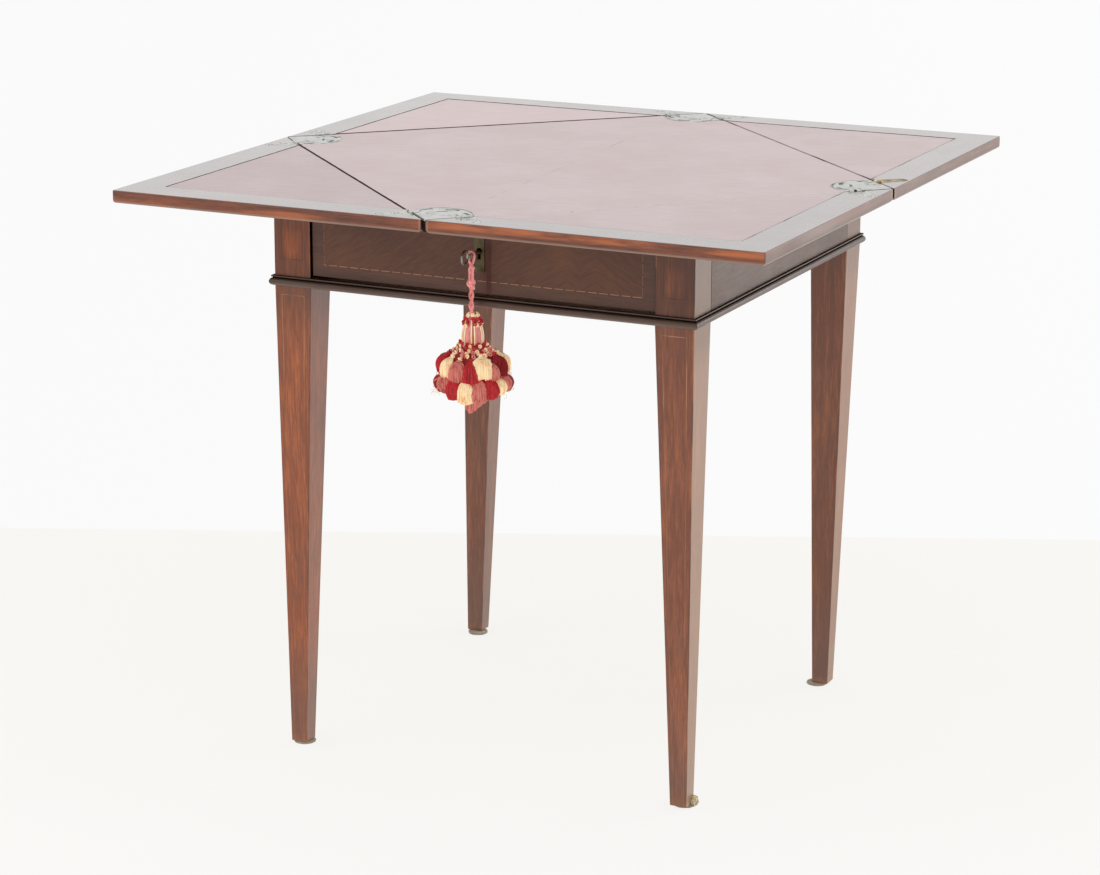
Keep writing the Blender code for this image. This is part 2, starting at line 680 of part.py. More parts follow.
def make_inner_frame():
    """Runners with their guides, kickers over the drawer sides, and the board that carries the pivot."""
    outer = APRON_INNER - SEAT_GAP
    inner = outer - RUNNER_REACH
    guide = SIDE_OUTER + GUIDE_CLEARANCE
    run = FRONT_LOW - SEAT_GAP
    length = 2 * RAIL_HALF
    section = [(inner, FRIEZE_BOTTOM), (outer, FRIEZE_BOTTOM), (outer, run + GUIDE_HEIGHT),
               (guide, run + GUIDE_HEIGHT), (guide, run), (inner, run)]
    for side, sign in (("right", 1), ("left", -1)):
        runner = prism(f"drawer_runner_{side}", [(sign * x, z) for x, z in section], length)
        add(f"drawer_runner_{side}", runner, "pine", None, (0, -RAIL_HALF, 0), (math.pi / 2, 0, 0))
        low, high = sorted((sign * inner, sign * outer))
        kicker = box(f"kicker_{side}", (low, -RAIL_HALF, KICKER_LOW), (high, RAIL_HALF, KICKER_HIGH))
        add(f"kicker_{side}", kicker, "pine")

    half = PIVOT_BOARD_WIDTH / 2
    under = BASE_TOP - PIVOT_BOARD_THICK
    pivot = add("pivot_board", box("pivot_board", (-outer, -half, under), (outer, half, BASE_TOP)), "pine")
    low, high = under - OVERRUN, BASE_TOP + OVERRUN
    bore = cylinder("pivot_bore", STUD_RADIUS + STUD_CLEARANCE, low, high, KEY_SIDES)
    cut(pivot, tool("pivot_bore", bore), tool("stop_slot", stop_slot(low, high)))


def stop_slot(low, high):
    """The curved slot that the stop stud runs in, as far as the top turns."""
    reach = STOP_STUD_RADIUS + STUD_CLEARANCE
    margin = math.asin(reach / STOP_STUD_CIRCLE)
    bm = bmesh.new()
    inner, outer = STOP_STUD_CIRCLE - reach, STOP_STUD_CIRCLE + reach
    section = ((inner, low), (outer, low), (outer, high), (inner, high))
    corners = [bm.verts.new((across, 0, up)) for across, up in section]
    face = bm.faces.new(corners)
    bmesh.ops.rotate(bm, verts=corners, matrix=Matrix.Rotation(margin, 3, "Z"), cent=(0, 0, 0))
    bmesh.ops.spin(
        bm, geom=[face] + face.edges[:] + corners, cent=(0, 0, 0), axis=(0, 0, 1),
        angle=-(OPEN_TURN + 2 * margin), steps=SLOT_STEPS, use_merge=False,
    )
    bmesh.ops.recalc_face_normals(bm, faces=bm.faces)
    return to_mesh("stop_slot", bm)


# The drawer, its lock and its key


def make_drawer(drawer):
    """The drawer's own frame stands at the middle of the front's face, at the height of its lower edge."""
    height = FRONT_HIGH - FRONT_LOW
    front = box("drawer_front", (-FRONT_HALF, 0, 0), (FRONT_HALF, DRAWER_FRONT_THICK, height))
    board_front = add("drawer_front", front, "veneer", drawer)
    inner = SIDE_OUTER - DRAWER_SIDE_THICK
    start = DRAWER_FRONT_THICK + SEAT_GAP
    side_height = DRAWER_SIDE_HEIGHT
    left = box("drawer_side_left", (-SIDE_OUTER, start, 0), (-inner, DRAWER_LENGTH, side_height))
    right = box("drawer_side_right", (inner, start, 0), (SIDE_OUTER, DRAWER_LENGTH, side_height))
    add("drawer_side_left", left, "oak", drawer)
    add("drawer_side_right", right, "oak", drawer)
    between = inner - SEAT_GAP
    floor = DRAWER_BOTTOM_RISE + DRAWER_BOTTOM_THICK
    bottom = box("drawer_bottom", (-between, start, DRAWER_BOTTOM_RISE), (between, DRAWER_LENGTH, floor))
    add("drawer_bottom", bottom, "oak", drawer)
    rear = DRAWER_LENGTH - DRAWER_SIDE_THICK
    back = box("drawer_back", (-between, rear, floor + SEAT_GAP),
               (between, DRAWER_LENGTH, side_height - DRAWER_BACK_DROP))
    add("drawer_back", back, "oak", drawer)
    return board_front


def make_lock(drawer, bolt_frame, lock, front):
    """The case let into the back of the drawer front, the bolt in it, and the keyhole in front of it."""
    face = DRAWER_FRONT_THICK - CASE_THICK
    high = FRONT_HIGH - FRONT_LOW - SEAT_GAP
    low = high - CASE_HEIGHT
    half = CASE_WIDTH / 2
    block = box("lock_case", (-half, face, low), (half, DRAWER_FRONT_THICK, high))
    case = add("lock_case", block, "brass", drawer)
    pocket = box("case_pocket", (-half - SEAT_GAP, face - SEAT_GAP, low - SEAT_GAP),
                 (half + SEAT_GAP, DRAWER_FRONT_THICK + OVERRUN, high + OVERRUN))
    cut(front, tool("case_pocket", pocket, drawer))

    ward = cylinder("ward_space", WARD_RADIUS, -face - WARD_DEPTH, -face + OVERRUN)
    middle = face + CASE_THICK / 2
    wide = BOLT_WIDTH / 2
    deep = BOLT_THICK / 2
    gap = BOLT_CLEARANCE
    slot = box("bolt_slot", (-wide - gap, middle - deep - gap, high - BOLT_HEIGHT - gap),
               (wide + gap, middle + deep + gap, high + OVERRUN))
    cut(case, tool("ward_space", ward, lock), tool("bolt_slot", slot, drawer))
    bolt = box("lock_bolt", (-wide, -deep, -BOLT_HEIGHT), (wide, deep, 0), BOLT_ARRIS)
    add("lock_bolt", bolt, "iron", bolt_frame)

    radius = PLATE_CORNER
    corners = [(1, 1, 0), (-1, 1, 1), (-1, -1, 2), (1, -1, 3)]
    outline = []
    for x, y, quarter in corners:
        centre = (x * (PLATE_WIDTH / 2 - radius), y * (PLATE_HEIGHT / 2 - radius))
        outline += arc(centre, radius, quarter * math.pi / 2, (quarter + 1) * math.pi / 2, 3)
    plate = prism("escutcheon", outline, ESCUTCHEON_THICK)
    escutcheon = add("escutcheon", plate, "brass", lock, (0, 0, SEAT_GAP + ESCUTCHEON_THICK))
    back, ahead = -DRAWER_FRONT_THICK, OVERRUN
    eye = cylinder("keyhole_eye", KEYHOLE_RADIUS, back, ahead, KEY_SIDES)
    slit = box("keyhole_slit", (-KEYHOLE_SLOT / 2, -KEYHOLE_DROP, back), (KEYHOLE_SLOT / 2, 0, ahead))
    hole = tool("keyhole_eye", eye, lock, (0, KEYHOLE_RISE, 0)), tool("keyhole_slit", slit, lock)
    cut(front, *hole)
    cut(escutcheon, *hole)


def make_key(lock):
    """The key's frame is its axis: +Z out of the drawer, +Y up."""
    inside = DRAWER_FRONT_THICK - CASE_THICK + BIT_INSET + BIT_LENGTH
    wire = BOW_WIRE / 2
    ring = BOW_RADIUS - wire
    shank = cylinder("key", SHANK_RADIUS, -inside, BOW_STANDOFF - ring - wire / 3, KEY_SIDES)
    key = add("key", shank, "steel", lock)
    bpy.ops.mesh.primitive_torus_add(
        major_radius=ring, minor_radius=wire, major_segments=28, minor_segments=8
    )
    bow_mesh = bpy.context.object.data
    bow_mesh.transform(Matrix.Rotation(math.pi / 2, 4, "Y"))
    bpy.data.objects.remove(bpy.context.object)
    neck = CORD_STANDOFF + CORD_RADIUS + CORD_GAP
    collar = cylinder("key_collar", COLLAR_RADIUS, neck, neck + COLLAR_LENGTH, KEY_SIDES)
    half = BIT_THICK / 2
    bit = box("key_bit", (-half, -BIT_REACH, -inside), (half, -SHANK_RADIUS / 2, BIT_LENGTH - inside))
    join(key, tool("key_bow", bow_mesh, lock, (0, 0, BOW_STANDOFF)), tool("key_collar", collar, lock),
         tool("key_bit", bit, lock))


# The tassel


def smooth_route(points, steps):
    """Points on a smooth curve through the route's own points."""
    route = [Vector(point) for point in points]
    padded = [2 * route[0] - route[1]] + route + [2 * route[-1] - route[-2]]
    made = [route[0]]
    for before, start, end, after in zip(padded, padded[1:], padded[2:], padded[3:]):
        for step in range(1, steps + 1):
            t = step / steps
            bend = 2 * before - 5 * start + 4 * end - after
            twist = 3 * start - before - 3 * end + after
            made.append(start + ((end - before) * t + bend * t * t + twist * t * t * t) / 2)
    return made


def make_cord(tassel):
    """A loop of cord over the key's neck, both ends in the tassel's top. Its route is chosen by hand."""
    over = SHANK_RADIUS + CORD_GAP + CORD_RADIUS
    half = [
        (CORD_SPREAD, -TASSEL_DROP + SEAT_GAP), (CORD_SPREAD, -0.066), (CORD_SPREAD, -0.051),
        (CORD_SPREAD, -0.036), (0.0024, -0.026), (0.0032, -0.016), (0.0041, -0.0065), (over, 0),
        (over * 0.72, over * 0.72),
    ]
    route = [(-x, 0, z) for x, z in half] + [(0, 0, over)] + [(x, 0, z) for x, z in reversed(half)]
    curve = bpy.data.curves.new("tassel_cord", "CURVE")
    curve.dimensions = "3D"
    curve.bevel_depth = CORD_RADIUS
    curve.bevel_resolution = 2
    curve.use_fill_caps = True
    points = smooth_route(route, 3)
    spline = curve.splines.new("POLY")
    spline.points.add(len(points) - 1)
    for point, place in zip(spline.points, points):
        point.co = (*place, 1)
    add("tassel_cord", curve, "cord", tassel)


def make_tassel(tassel):
    """The head turned in one, and two skirts of tufts under it, hanging from the tassel's own frame."""
    top = -TASSEL_DROP
    shoulder = top - COLLAR_RUFF_HEIGHT
    waist = shoulder - HEAD_HEIGHT
    skirt = waist - LOWER_RUFF_HEIGHT
    profile = [(0, top)]
    for high, low, radius, steps in (
        (top, shoulder, COLLAR_RUFF_RADIUS, 4),
        (shoulder, waist, HEAD_RADIUS, 5),
        (waist, skirt, LOWER_RUFF_RADIUS, 4),
    ):
        for step in range(steps + 1):
            swell = math.sin(math.pi * (step + 0.5) / (steps + 1))
            profile.append((radius * (1 + swell) / 2, high + (low - high) * step / steps))
    outline = profile_mesh("tassel_head", merged(profile) + [(0, skirt)])
    turned(add("tassel_head", outline, "tassel_thread", tassel), PIVOT_SIDES)
    high = skirt - SEAT_GAP
    for name, height, radius, tip in (
        ("tassel_skirt_upper", UPPER_SKIRT_HEIGHT, UPPER_SKIRT_RADIUS, 0),
        ("tassel_skirt_lower", LOWER_SKIRT_HEIGHT, LOWER_SKIRT_RADIUS, TIP_LENGTH),
    ):
        add(name, tufted(name, high, height, radius, tip), "tassel_thread", tassel)
        high -= height + SEAT_GAP


def merged(profile):
    """A profile without the repeated heights where one turned part meets the next."""
    kept = [profile[0]]
    for point in profile[1:]:
        if abs(point[1] - kept[-1][1]) > WELD or abs(point[0] - kept[-1][0]) > WELD:
            kept.append(point)
    return kept


def tufted(name, high, height, radius, tip):
    """A skirt: a flattened ball whose rim swells and draws in at each tuft, drawn down to a tip below."""
    bm = bmesh.new()
    bmesh.ops.create_uvsphere(bm, u_segments=TUFTS * TUFT_STEPS, v_segments=8, radius=1)
    for vert in bm.verts:
        out = math.hypot(vert.co.x, vert.co.y)
        around = math.atan2(vert.co.y, vert.co.x)
        full = out ** SKIRT_FULLNESS / out if out > WELD else 1.0
        tuft = full * (1 - TUFT_DEPTH_SHARE * (1 - abs(math.sin(TUFTS * around / 2))) * out)
        drop = tip * max(0.0, 1 - out * full / TIP_WIDTH_SHARE) if vert.co.z < 0 else 0.0
        z = high - height / 2 + vert.co.z * height / 2 - drop
        vert.co = (vert.co.x * radius * tuft, vert.co.y * radius * tuft, z)
    return to_mesh(name, bm, smooth=True)


def main():
    for name, colour, roughness, metallic in (
        ("mahogany", (120, 74, 54), 0.35, 0.0),
        ("veneer", (98, 66, 54), 0.35, 0.0),
        ("pine", (176, 140, 96), 0.7, 0.0),
        ("oak", (150, 118, 82), 0.6, 0.0),
        ("baize", (207, 193, 193), 0.9, 0.0),
        ("felt", (172, 160, 140), 0.95, 0.0),
        ("hinge_metal", (176, 174, 164), 0.4, 1.0),
        ("brass", (150, 130, 88), 0.45, 1.0),
        ("iron", (90, 86, 82), 0.55, 1.0),
        ("steel", (170, 165, 152), 0.35, 1.0),
        ("cord", (226, 140, 136), 0.85, 0.0),
        ("tassel_thread", (190, 74, 66), 0.8, 0.0),
    ):
        finish(name, colour, roughness, metallic)

    top = axis_frame("top_frame", None, (0, 0, 0), (0, 0, OPEN_TURN))
    hinges = []
    for quarter in range(4):
        angle = math.pi / 2 * quarter
        place = (PANEL_HALF * math.cos(angle), PANEL_HALF * math.sin(angle), PIN_HEIGHT)
        turn = (0, 0, angle - math.pi / 2)
        hinges.append(axis_frame(f"leaf_frame_{QUARTERS[quarter]}", top, place, turn))
    drawer = axis_frame("drawer_frame", None, (0, FRONT_FACE, FRONT_LOW))
    bolt_place = (0, DRAWER_FRONT_THICK - CASE_THICK / 2, FRONT_HIGH - FRONT_LOW - SEAT_GAP)
    bolt = axis_frame("bolt_frame", drawer, bolt_place)
    lock = axis_frame("key_frame", drawer, (0, 0, KEY_HEIGHT - FRONT_LOW), (math.pi / 2, 0, 0))
    tassel = axis_frame("tassel_frame", drawer, (0, -CORD_STANDOFF, KEY_HEIGHT - FRONT_LOW))
    bpy.context.view_layer.update()

    make_legs()
    make_frieze()
    make_moulding()
    make_inner_frame()
    make_top(top, hinges)
    make_leaves(hinges)
    front = make_drawer(drawer)
    make_lock(drawer, bolt, lock, front)
    make_key(lock)
    make_cord(tassel)
    make_tassel(tassel)


for old in list(bpy.data.objects):
    bpy.data.objects.remove(old)
TABLE = collection("Envelope card table")
TOOLS = collection("Cutters")
main()
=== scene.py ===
"""Looks of the envelope card table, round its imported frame.

It dresses the frame with wood, baize and metal, and adds the screws, the felt pads and the tassel.
Metres, +Z up. The origin is on the floor under the middle of the table, and the drawer faces -Y.
"""

import math
import random

import bmesh
import bpy
from mathutils import Matrix, Vector, noise


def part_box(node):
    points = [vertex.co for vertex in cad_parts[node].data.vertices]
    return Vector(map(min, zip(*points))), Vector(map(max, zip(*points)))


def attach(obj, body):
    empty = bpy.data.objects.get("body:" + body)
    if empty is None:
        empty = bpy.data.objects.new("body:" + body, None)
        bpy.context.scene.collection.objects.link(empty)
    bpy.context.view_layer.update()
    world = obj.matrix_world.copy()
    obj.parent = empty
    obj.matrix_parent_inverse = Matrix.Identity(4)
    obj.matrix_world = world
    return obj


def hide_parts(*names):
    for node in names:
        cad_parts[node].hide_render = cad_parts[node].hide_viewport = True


bl_info = {
    "name": "Envelope Card Table",
    "version": (1, 0, 0),
    "blender": (4, 5, 0),
    "location": "3D View > Sidebar > Card Table",
    "description": "Dresses the frame of an envelope card table with its woods, baize, brass and tassel",
    "category": "Object",
}

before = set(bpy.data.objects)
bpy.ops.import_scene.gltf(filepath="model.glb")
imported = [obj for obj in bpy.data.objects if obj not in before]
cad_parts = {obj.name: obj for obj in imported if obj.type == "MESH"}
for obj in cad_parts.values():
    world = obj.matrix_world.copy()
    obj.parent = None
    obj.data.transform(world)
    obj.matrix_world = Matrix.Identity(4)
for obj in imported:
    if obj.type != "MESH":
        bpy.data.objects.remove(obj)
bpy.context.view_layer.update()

# The top: where its boards lie, which way each leaf points, how far out the seams are, where the baize's
# edge is, how far out the outer faces start, and the corner under each hinge
TOP_LOW, TOP_HIGH = (corner.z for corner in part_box("leaf_right"))
DIAGONAL = math.sqrt(0.5)
LEAF_WAYS = {
    "right": Vector((DIAGONAL, DIAGONAL, 0)),
    "back": Vector((-DIAGONAL, DIAGONAL, 0)),
    "left": Vector((-DIAGONAL, -DIAGONAL, 0)),
    "front": Vector((DIAGONAL, -DIAGONAL, 0)),
}
SEAM = 0.3025
REBATE = 0.3798
OUTER_FACES = 0.42
CORNER_REACH = 0.4278
PLATE_CORNERS = {
    "right": Vector((CORNER_REACH, 0, 0)),
    "back": Vector((0, CORNER_REACH, 0)),
    "left": Vector((-CORNER_REACH, 0, 0)),
    "front": Vector((0, -CORNER_REACH, 0)),
}

# The legs: their ends, the square block at the top and the half width of the foot
LEG_TOP = 0.6125
LEG_LOW = 0.0033
BLOCK_LOW = LEG_TOP + 0.012
BLOCK_MIDDLE = 0.2585
BLOCK_HALF = 0.0255
FOOT_HALF = 0.01125
SIGNS = {"front": -1, "back": 1, "left": -1, "right": 1}
# How far each foot stands from straight below its block
LEG_LEANS = {
    ("front", "left"): (-0.012, 0.002),
    ("front", "right"): (0.0055, 0.0035),
    ("back", "left"): (-0.011, -0.0075),
    ("back", "right"): (0.0, -0.007),
}
# How each leg's wood differs from the colours set for all four
LEG_TINTS = {
    ("front", "left"): (1.5, 1.18, 0.72),
    ("front", "right"): (1.2, 1.06, 0.9),
    ("back", "left"): (0.96, 0.98, 1.0),
    ("back", "right"): (1.06, 1.06, 0.98),
}
# The colour of the painted light on each leg's right side, and how far it covers the wood
LEG_SIDE_LIGHTS = {
    ("front", "left"): ((150, 121, 106), 0.26),
    ("front", "right"): ((192, 162, 136), 0.5),
    ("back", "left"): ((192, 162, 136), 0.14),
    ("back", "right"): ((198, 155, 118), 0.32),
}
# How much painted shade darkens each leg just under the moulding
LEG_SHADES = {
    ("front", "left"): 0.5,
    ("front", "right"): 0.15,
    ("back", "left"): 0.15,
    ("back", "right"): 0.15,
}
# Inlay of the legs: its lines' place as a share of the half width, and its crossing line's height
LEG_LINE_SHARE = 0.63
LEG_LINE_TOP = LEG_TOP - 0.011
# The dark panel on each block: how far out its sides are, its foot, and the middle of its glow
PANEL_HALF = 0.0145
PANEL_FOOT = 0.647
PANEL_MIDDLE = 0.666

# The moulding's groove and ledge, above its foot
MOULDING_GROOVE = 0.0104
MOULDING_LEDGE = 0.01285

# The drawer's veneer: where it is book-matched, and the rectangle of dashed stringing
VENEER_MATCHES = (0.115, 0.133, 0.154)
STRING_HALF = 0.2153
STRING_LOW = 0.6435
STRING_HIGH = 0.6975
STRING_WIDTH = 0.0005
DASH_STEP = 0.0147
DASH_LENGTH = 0.0115

# Hinges: the fan's reach along its sides and what it swells by in the middle, and their top face
FAN_SIDE = 0.061
FAN_SWELL = 0.02
PLATE_FACE = TOP_HIGH - 0.0006

# Baize: the way that its weft runs, how close its threads are, the squares it is cut into, how far out
# the seams' marks are, and the marks of use on it
WEFT_WAY = (0.904, 0.427)
BAIZE_WEAVE = 2600.0
BAIZE_SQUARE = 0.012
NEAR_SEAM = 0.41
CREASE = ((0.0097, -0.2713), (-0.0129, 0.2186))
RUBBED_LINE = ((0.1566, -0.0132), (0.2956, -0.0215))
SPECKS = (((0.1356, -0.3077), 0.0024), ((0.1898, -0.2467), 0.0016))

# Lock, key, cord and tassel
DRAWER_FACE = -0.28
KEY_Z = 0.6797
CORD_Y = -0.303
CORD_ENDS = -0.0767
PLY_RADIUS = 0.0009
PLY_TURN = 0.009

# Tassel: the side that faces the camera, the height below which it leans, the middles of its head and of
# its padding, the way of one of the head's channels, and the way to the camera's right
FACING = -64.7
LEANS_BELOW = 0.603
HEAD_MIDDLE = 0.002
PADDING_MIDDLE = 0.0023
CHANNEL_WAY = -62.7
CAMERA_TURN = 25.3

# Felt pads: how close their fibres are, and how high the middle of the folded backing is
FELT_WEAVE = 1800.0
FOLD_MIDDLE = 0.0066

# Screws: where they are in the hinge's middle plate, from the corner inwards and aside, and in its leaf
# plates, from the seam outwards; the size of their heads, and the lock plate's two pins
PLATE_SCREWS = ((0.068, 0), (0.04, 0.0145), (0.04, -0.0145))
LEAF_SCREWS = (0.0145, 0.0335)
LEAF_SCREWS_IN = 0.0505
SCREW_RADIUS = 0.0022
PIN_RADIUS = 0.0014
PIN_HEIGHTS = (-0.0205, 0.0205)
PIN_FACE = DRAWER_FACE - 0.0017

# The line on the floor where the wall begins: the way that it faces and how far out it is
WALL_WAY = (0.4006, -0.9163)
WALL_REACH = 0.8228
FLOOR_REACH = 9
LAMP_AIM = (0, 0, 0.4)
SEEN_RAYS = ("Is Camera Ray", "Is Glossy Ray", "Is Transmission Ray")


def shade(red, green, blue):
    """A screen colour from 0 to 255 as the linear one that Blender keeps."""
    return tuple(((c / 255 + 0.055) / 1.055) ** 2.4 for c in (red, green, blue))


def colour_setting(name, description, *rgb):
    return bpy.props.FloatVectorProperty(
        name=name, description=description, default=shade(*rgb), subtype="COLOR", size=3, min=0, max=1
    )


def length_setting(name, description, default, low, high):
    return bpy.props.FloatProperty(
        name=name, description=description, default=default, min=low, max=high,
        subtype="DISTANCE", unit="LENGTH", precision=4,
    )


def angle_setting(name, description, degrees):
    return bpy.props.FloatProperty(
        name=name, description=description, default=math.radians(degrees), subtype="ANGLE", unit="ROTATION"
    )


def share_setting(name, description, default, high=1.0):
    return bpy.props.FloatProperty(name=name, description=description, default=default, min=0, max=high)


def power_setting(name, description, default):
    return bpy.props.FloatProperty(name=name, description=description, default=default, min=0, unit="POWER")


def place_setting(name, description, default):
    return bpy.props.FloatVectorProperty(
        name=name, description=description, default=default, size=3, subtype="TRANSLATION", unit="LENGTH"
    )


def group_setting(name, description, kind):
    return bpy.props.PointerProperty(type=kind, name=name, description=description)


class StageSettings(bpy.types.PropertyGroup):
    """Camera, floor, wall and light."""

    eye: place_setting("Eye", "Where the camera stands", (1.71424, -3.71207, 1.47626))
    turn: angle_setting("Turn", "How far the camera has gone round to the right of the drawer", 25.263)
    rise: angle_setting("Rise", "How far the camera looks down", 15.016)
    roll: angle_setting("Roll", "How far the camera leans", 0.15)
    lens: bpy.props.FloatProperty(
        name="Lens", description="Focal length on a frame 36 mm wide", default=105.857, min=10,
        subtype="DISTANCE_CAMERA",
    )
    wall_colour: colour_setting("Wall", "Colour of the wall behind", 250, 250, 250)
    floor_colour: colour_setting("Floor", "Colour of the floor near the camera", 252, 251, 249)
    far_floor_colour: colour_setting("Far floor", "Colour of the floor by the wall", 250, 248, 244)
    daylight: share_setting("Daylight", "Strength of the even light from all round", 0.85, 2.0)
    high_lamp: place_setting("High lamp", "Where the lamp overhead stands", (-1.9, -1.7, 2.3))
    high_power: power_setting("High lamp's power", "Power of the lamp overhead", 9)
    side_lamp: place_setting("Side lamp", "Where the lamp behind on the right stands", (2.2, 2.4, 0.9))
    side_power: power_setting("Side lamp's power", "Power of the lamp behind on the right", 26)
    floor_shadow: share_setting("Shadow", "How much the floor darkens under the table", 0.13)


class WoodSettings(bpy.types.PropertyGroup):
    """Colours of the woods."""

    leg_dark: colour_setting("Leg, dark", "Dark streaks of the legs", 112, 62, 40)
    leg_light: colour_setting("Leg, light", "Light streaks of the legs", 166, 100, 62)
    leaf_dark: colour_setting("Edge, dark", "Dark streaks on the edges of the top", 84, 42, 28)
    leaf_light: colour_setting("Edge, light", "Light streaks on the edges of the top", 138, 72, 42)
    border_dark: colour_setting("Border, dark", "Dark streaks of the border", 86, 58, 46)
    border_light: colour_setting("Border, light", "Light streaks of the border", 126, 101, 88)
    apron_dark: colour_setting("Apron, dark", "Dark streaks of the aprons", 88, 60, 42)
    apron_light: colour_setting("Apron, light", "Light streaks of the aprons", 122, 90, 66)
    drawer_dark: colour_setting("Drawer, dark", "Dark figure of the drawer's veneer", 86, 48, 32)
    drawer_light: colour_setting("Drawer, light", "Light figure of the drawer's veneer", 118, 72, 46)
    moulding: colour_setting("Moulding", "Colour of the moulding", 96, 68, 52)
    line: colour_setting("Stringing", "Colour of the inlaid lines", 214, 150, 104)
    pine_dark: colour_setting("Pine, dark", "Dark streaks of the unpolished pine inside", 150, 106, 64)
    pine_light: colour_setting("Pine, light", "Light streaks of the unpolished pine inside", 196, 158, 108)
    oak_dark: colour_setting("Oak, dark", "Dark streaks of the drawer's oak", 122, 88, 56)
    oak_light: colour_setting("Oak, light", "Light streaks of the drawer's oak", 168, 134, 94)


class ClothSettings(bpy.types.PropertyGroup):
    """Colours of the baize, felt, cord and tassel, and how the baize lies."""

    baize: colour_setting("Baize", "Colour of the baize", 204, 182, 182)
    baize_worn: colour_setting("Worn baize", "Colour of the baize where it is rubbed", 217, 200, 199)
    nap_rise: length_setting("Waves", "How far the baize rises and falls", 0.00016, 0, 0.001)
    felt: colour_setting("Felt", "Colour of the pads under the feet", 176, 162, 136)
    cord: colour_setting("Cord", "Colour of the tassel's cord", 240, 158, 154)
    red: colour_setting("Red thread", "Colour of the red threads", 206, 44, 52)
    cream: colour_setting("Cream thread", "Colour of the cream threads", 255, 235, 194)
    salmon: colour_setting("Salmon thread", "Colour of the salmon threads", 224, 134, 122)
    pink: colour_setting("Pink thread", "Colour of the tassel's head", 240, 156, 150)


class MetalSettings(bpy.types.PropertyGroup):
    """Colours of the brass, iron and steel."""

    plate: colour_setting("Hinge plates", "Colour of the old hinge plates", 204, 205, 201)
    tarnish: colour_setting("Tarnish", "Colour of the tarnish on the brass", 86, 72, 50)
    bright: colour_setting("Bright brass", "Colour of the tongue that was rubbed bright", 178, 142, 76)
    lock: colour_setting("Lock plate", "Colour of the lock's face plate", 104, 94, 72)
    key: colour_setting("Key", "Colour of the key's steel", 178, 170, 158)
    iron: colour_setting("Iron", "Colour of the pivot's iron", 96, 90, 84)


class Field:
    """A number, colour or vector that varies over a surface, kept as the node socket it comes from."""

    def __init__(self, finish, socket):
        self.finish = finish
        self.socket = socket

    def reckon(self, operation, *values):
        return self.finish.node("ShaderNodeMath", {"operation": operation}, dict(enumerate(values)))

    def __add__(self, other):
        return self.reckon("ADD", self, other)

    def __sub__(self, other):
        return self.reckon("SUBTRACT", self, other)

    def __rsub__(self, other):
        return self.reckon("SUBTRACT", other, self)

    def __mul__(self, other):
        return self.reckon("MULTIPLY", self, other)

    def __truediv__(self, other):
        return self.reckon("DIVIDE", self, other)

    def __rtruediv__(self, other):
        return self.reckon("DIVIDE", other, self)

    def __pow__(self, other):
        return self.reckon("POWER", self, other)

    def __mod__(self, other):
        return self.reckon("FLOORED_MODULO", self, other)

    def __abs__(self):
        return self.reckon("ABSOLUTE", self)

    def __gt__(self, other):
        return self.reckon("GREATER_THAN", self, other)

    def __lt__(self, other):
        return self.reckon("LESS_THAN", self, other)

    __radd__ = __add__
    __rmul__ = __mul__

    def least(self, other):
        return self.reckon("MINIMUM", self, other)

    def most(self, other):
        return self.reckon("MAXIMUM", self, other)

    def sine(self):
        return self.reckon("SINE", self)

    def eased(self, low, high):
        """0 below low and 1 above high, or the other way round where low is the larger."""
        values = {0: self, 1: low, 2: high, 3: 0.0, 4: 1.0}
        return self.finish.node("ShaderNodeMapRange", {"interpolation_type": "SMOOTHSTEP"}, values)


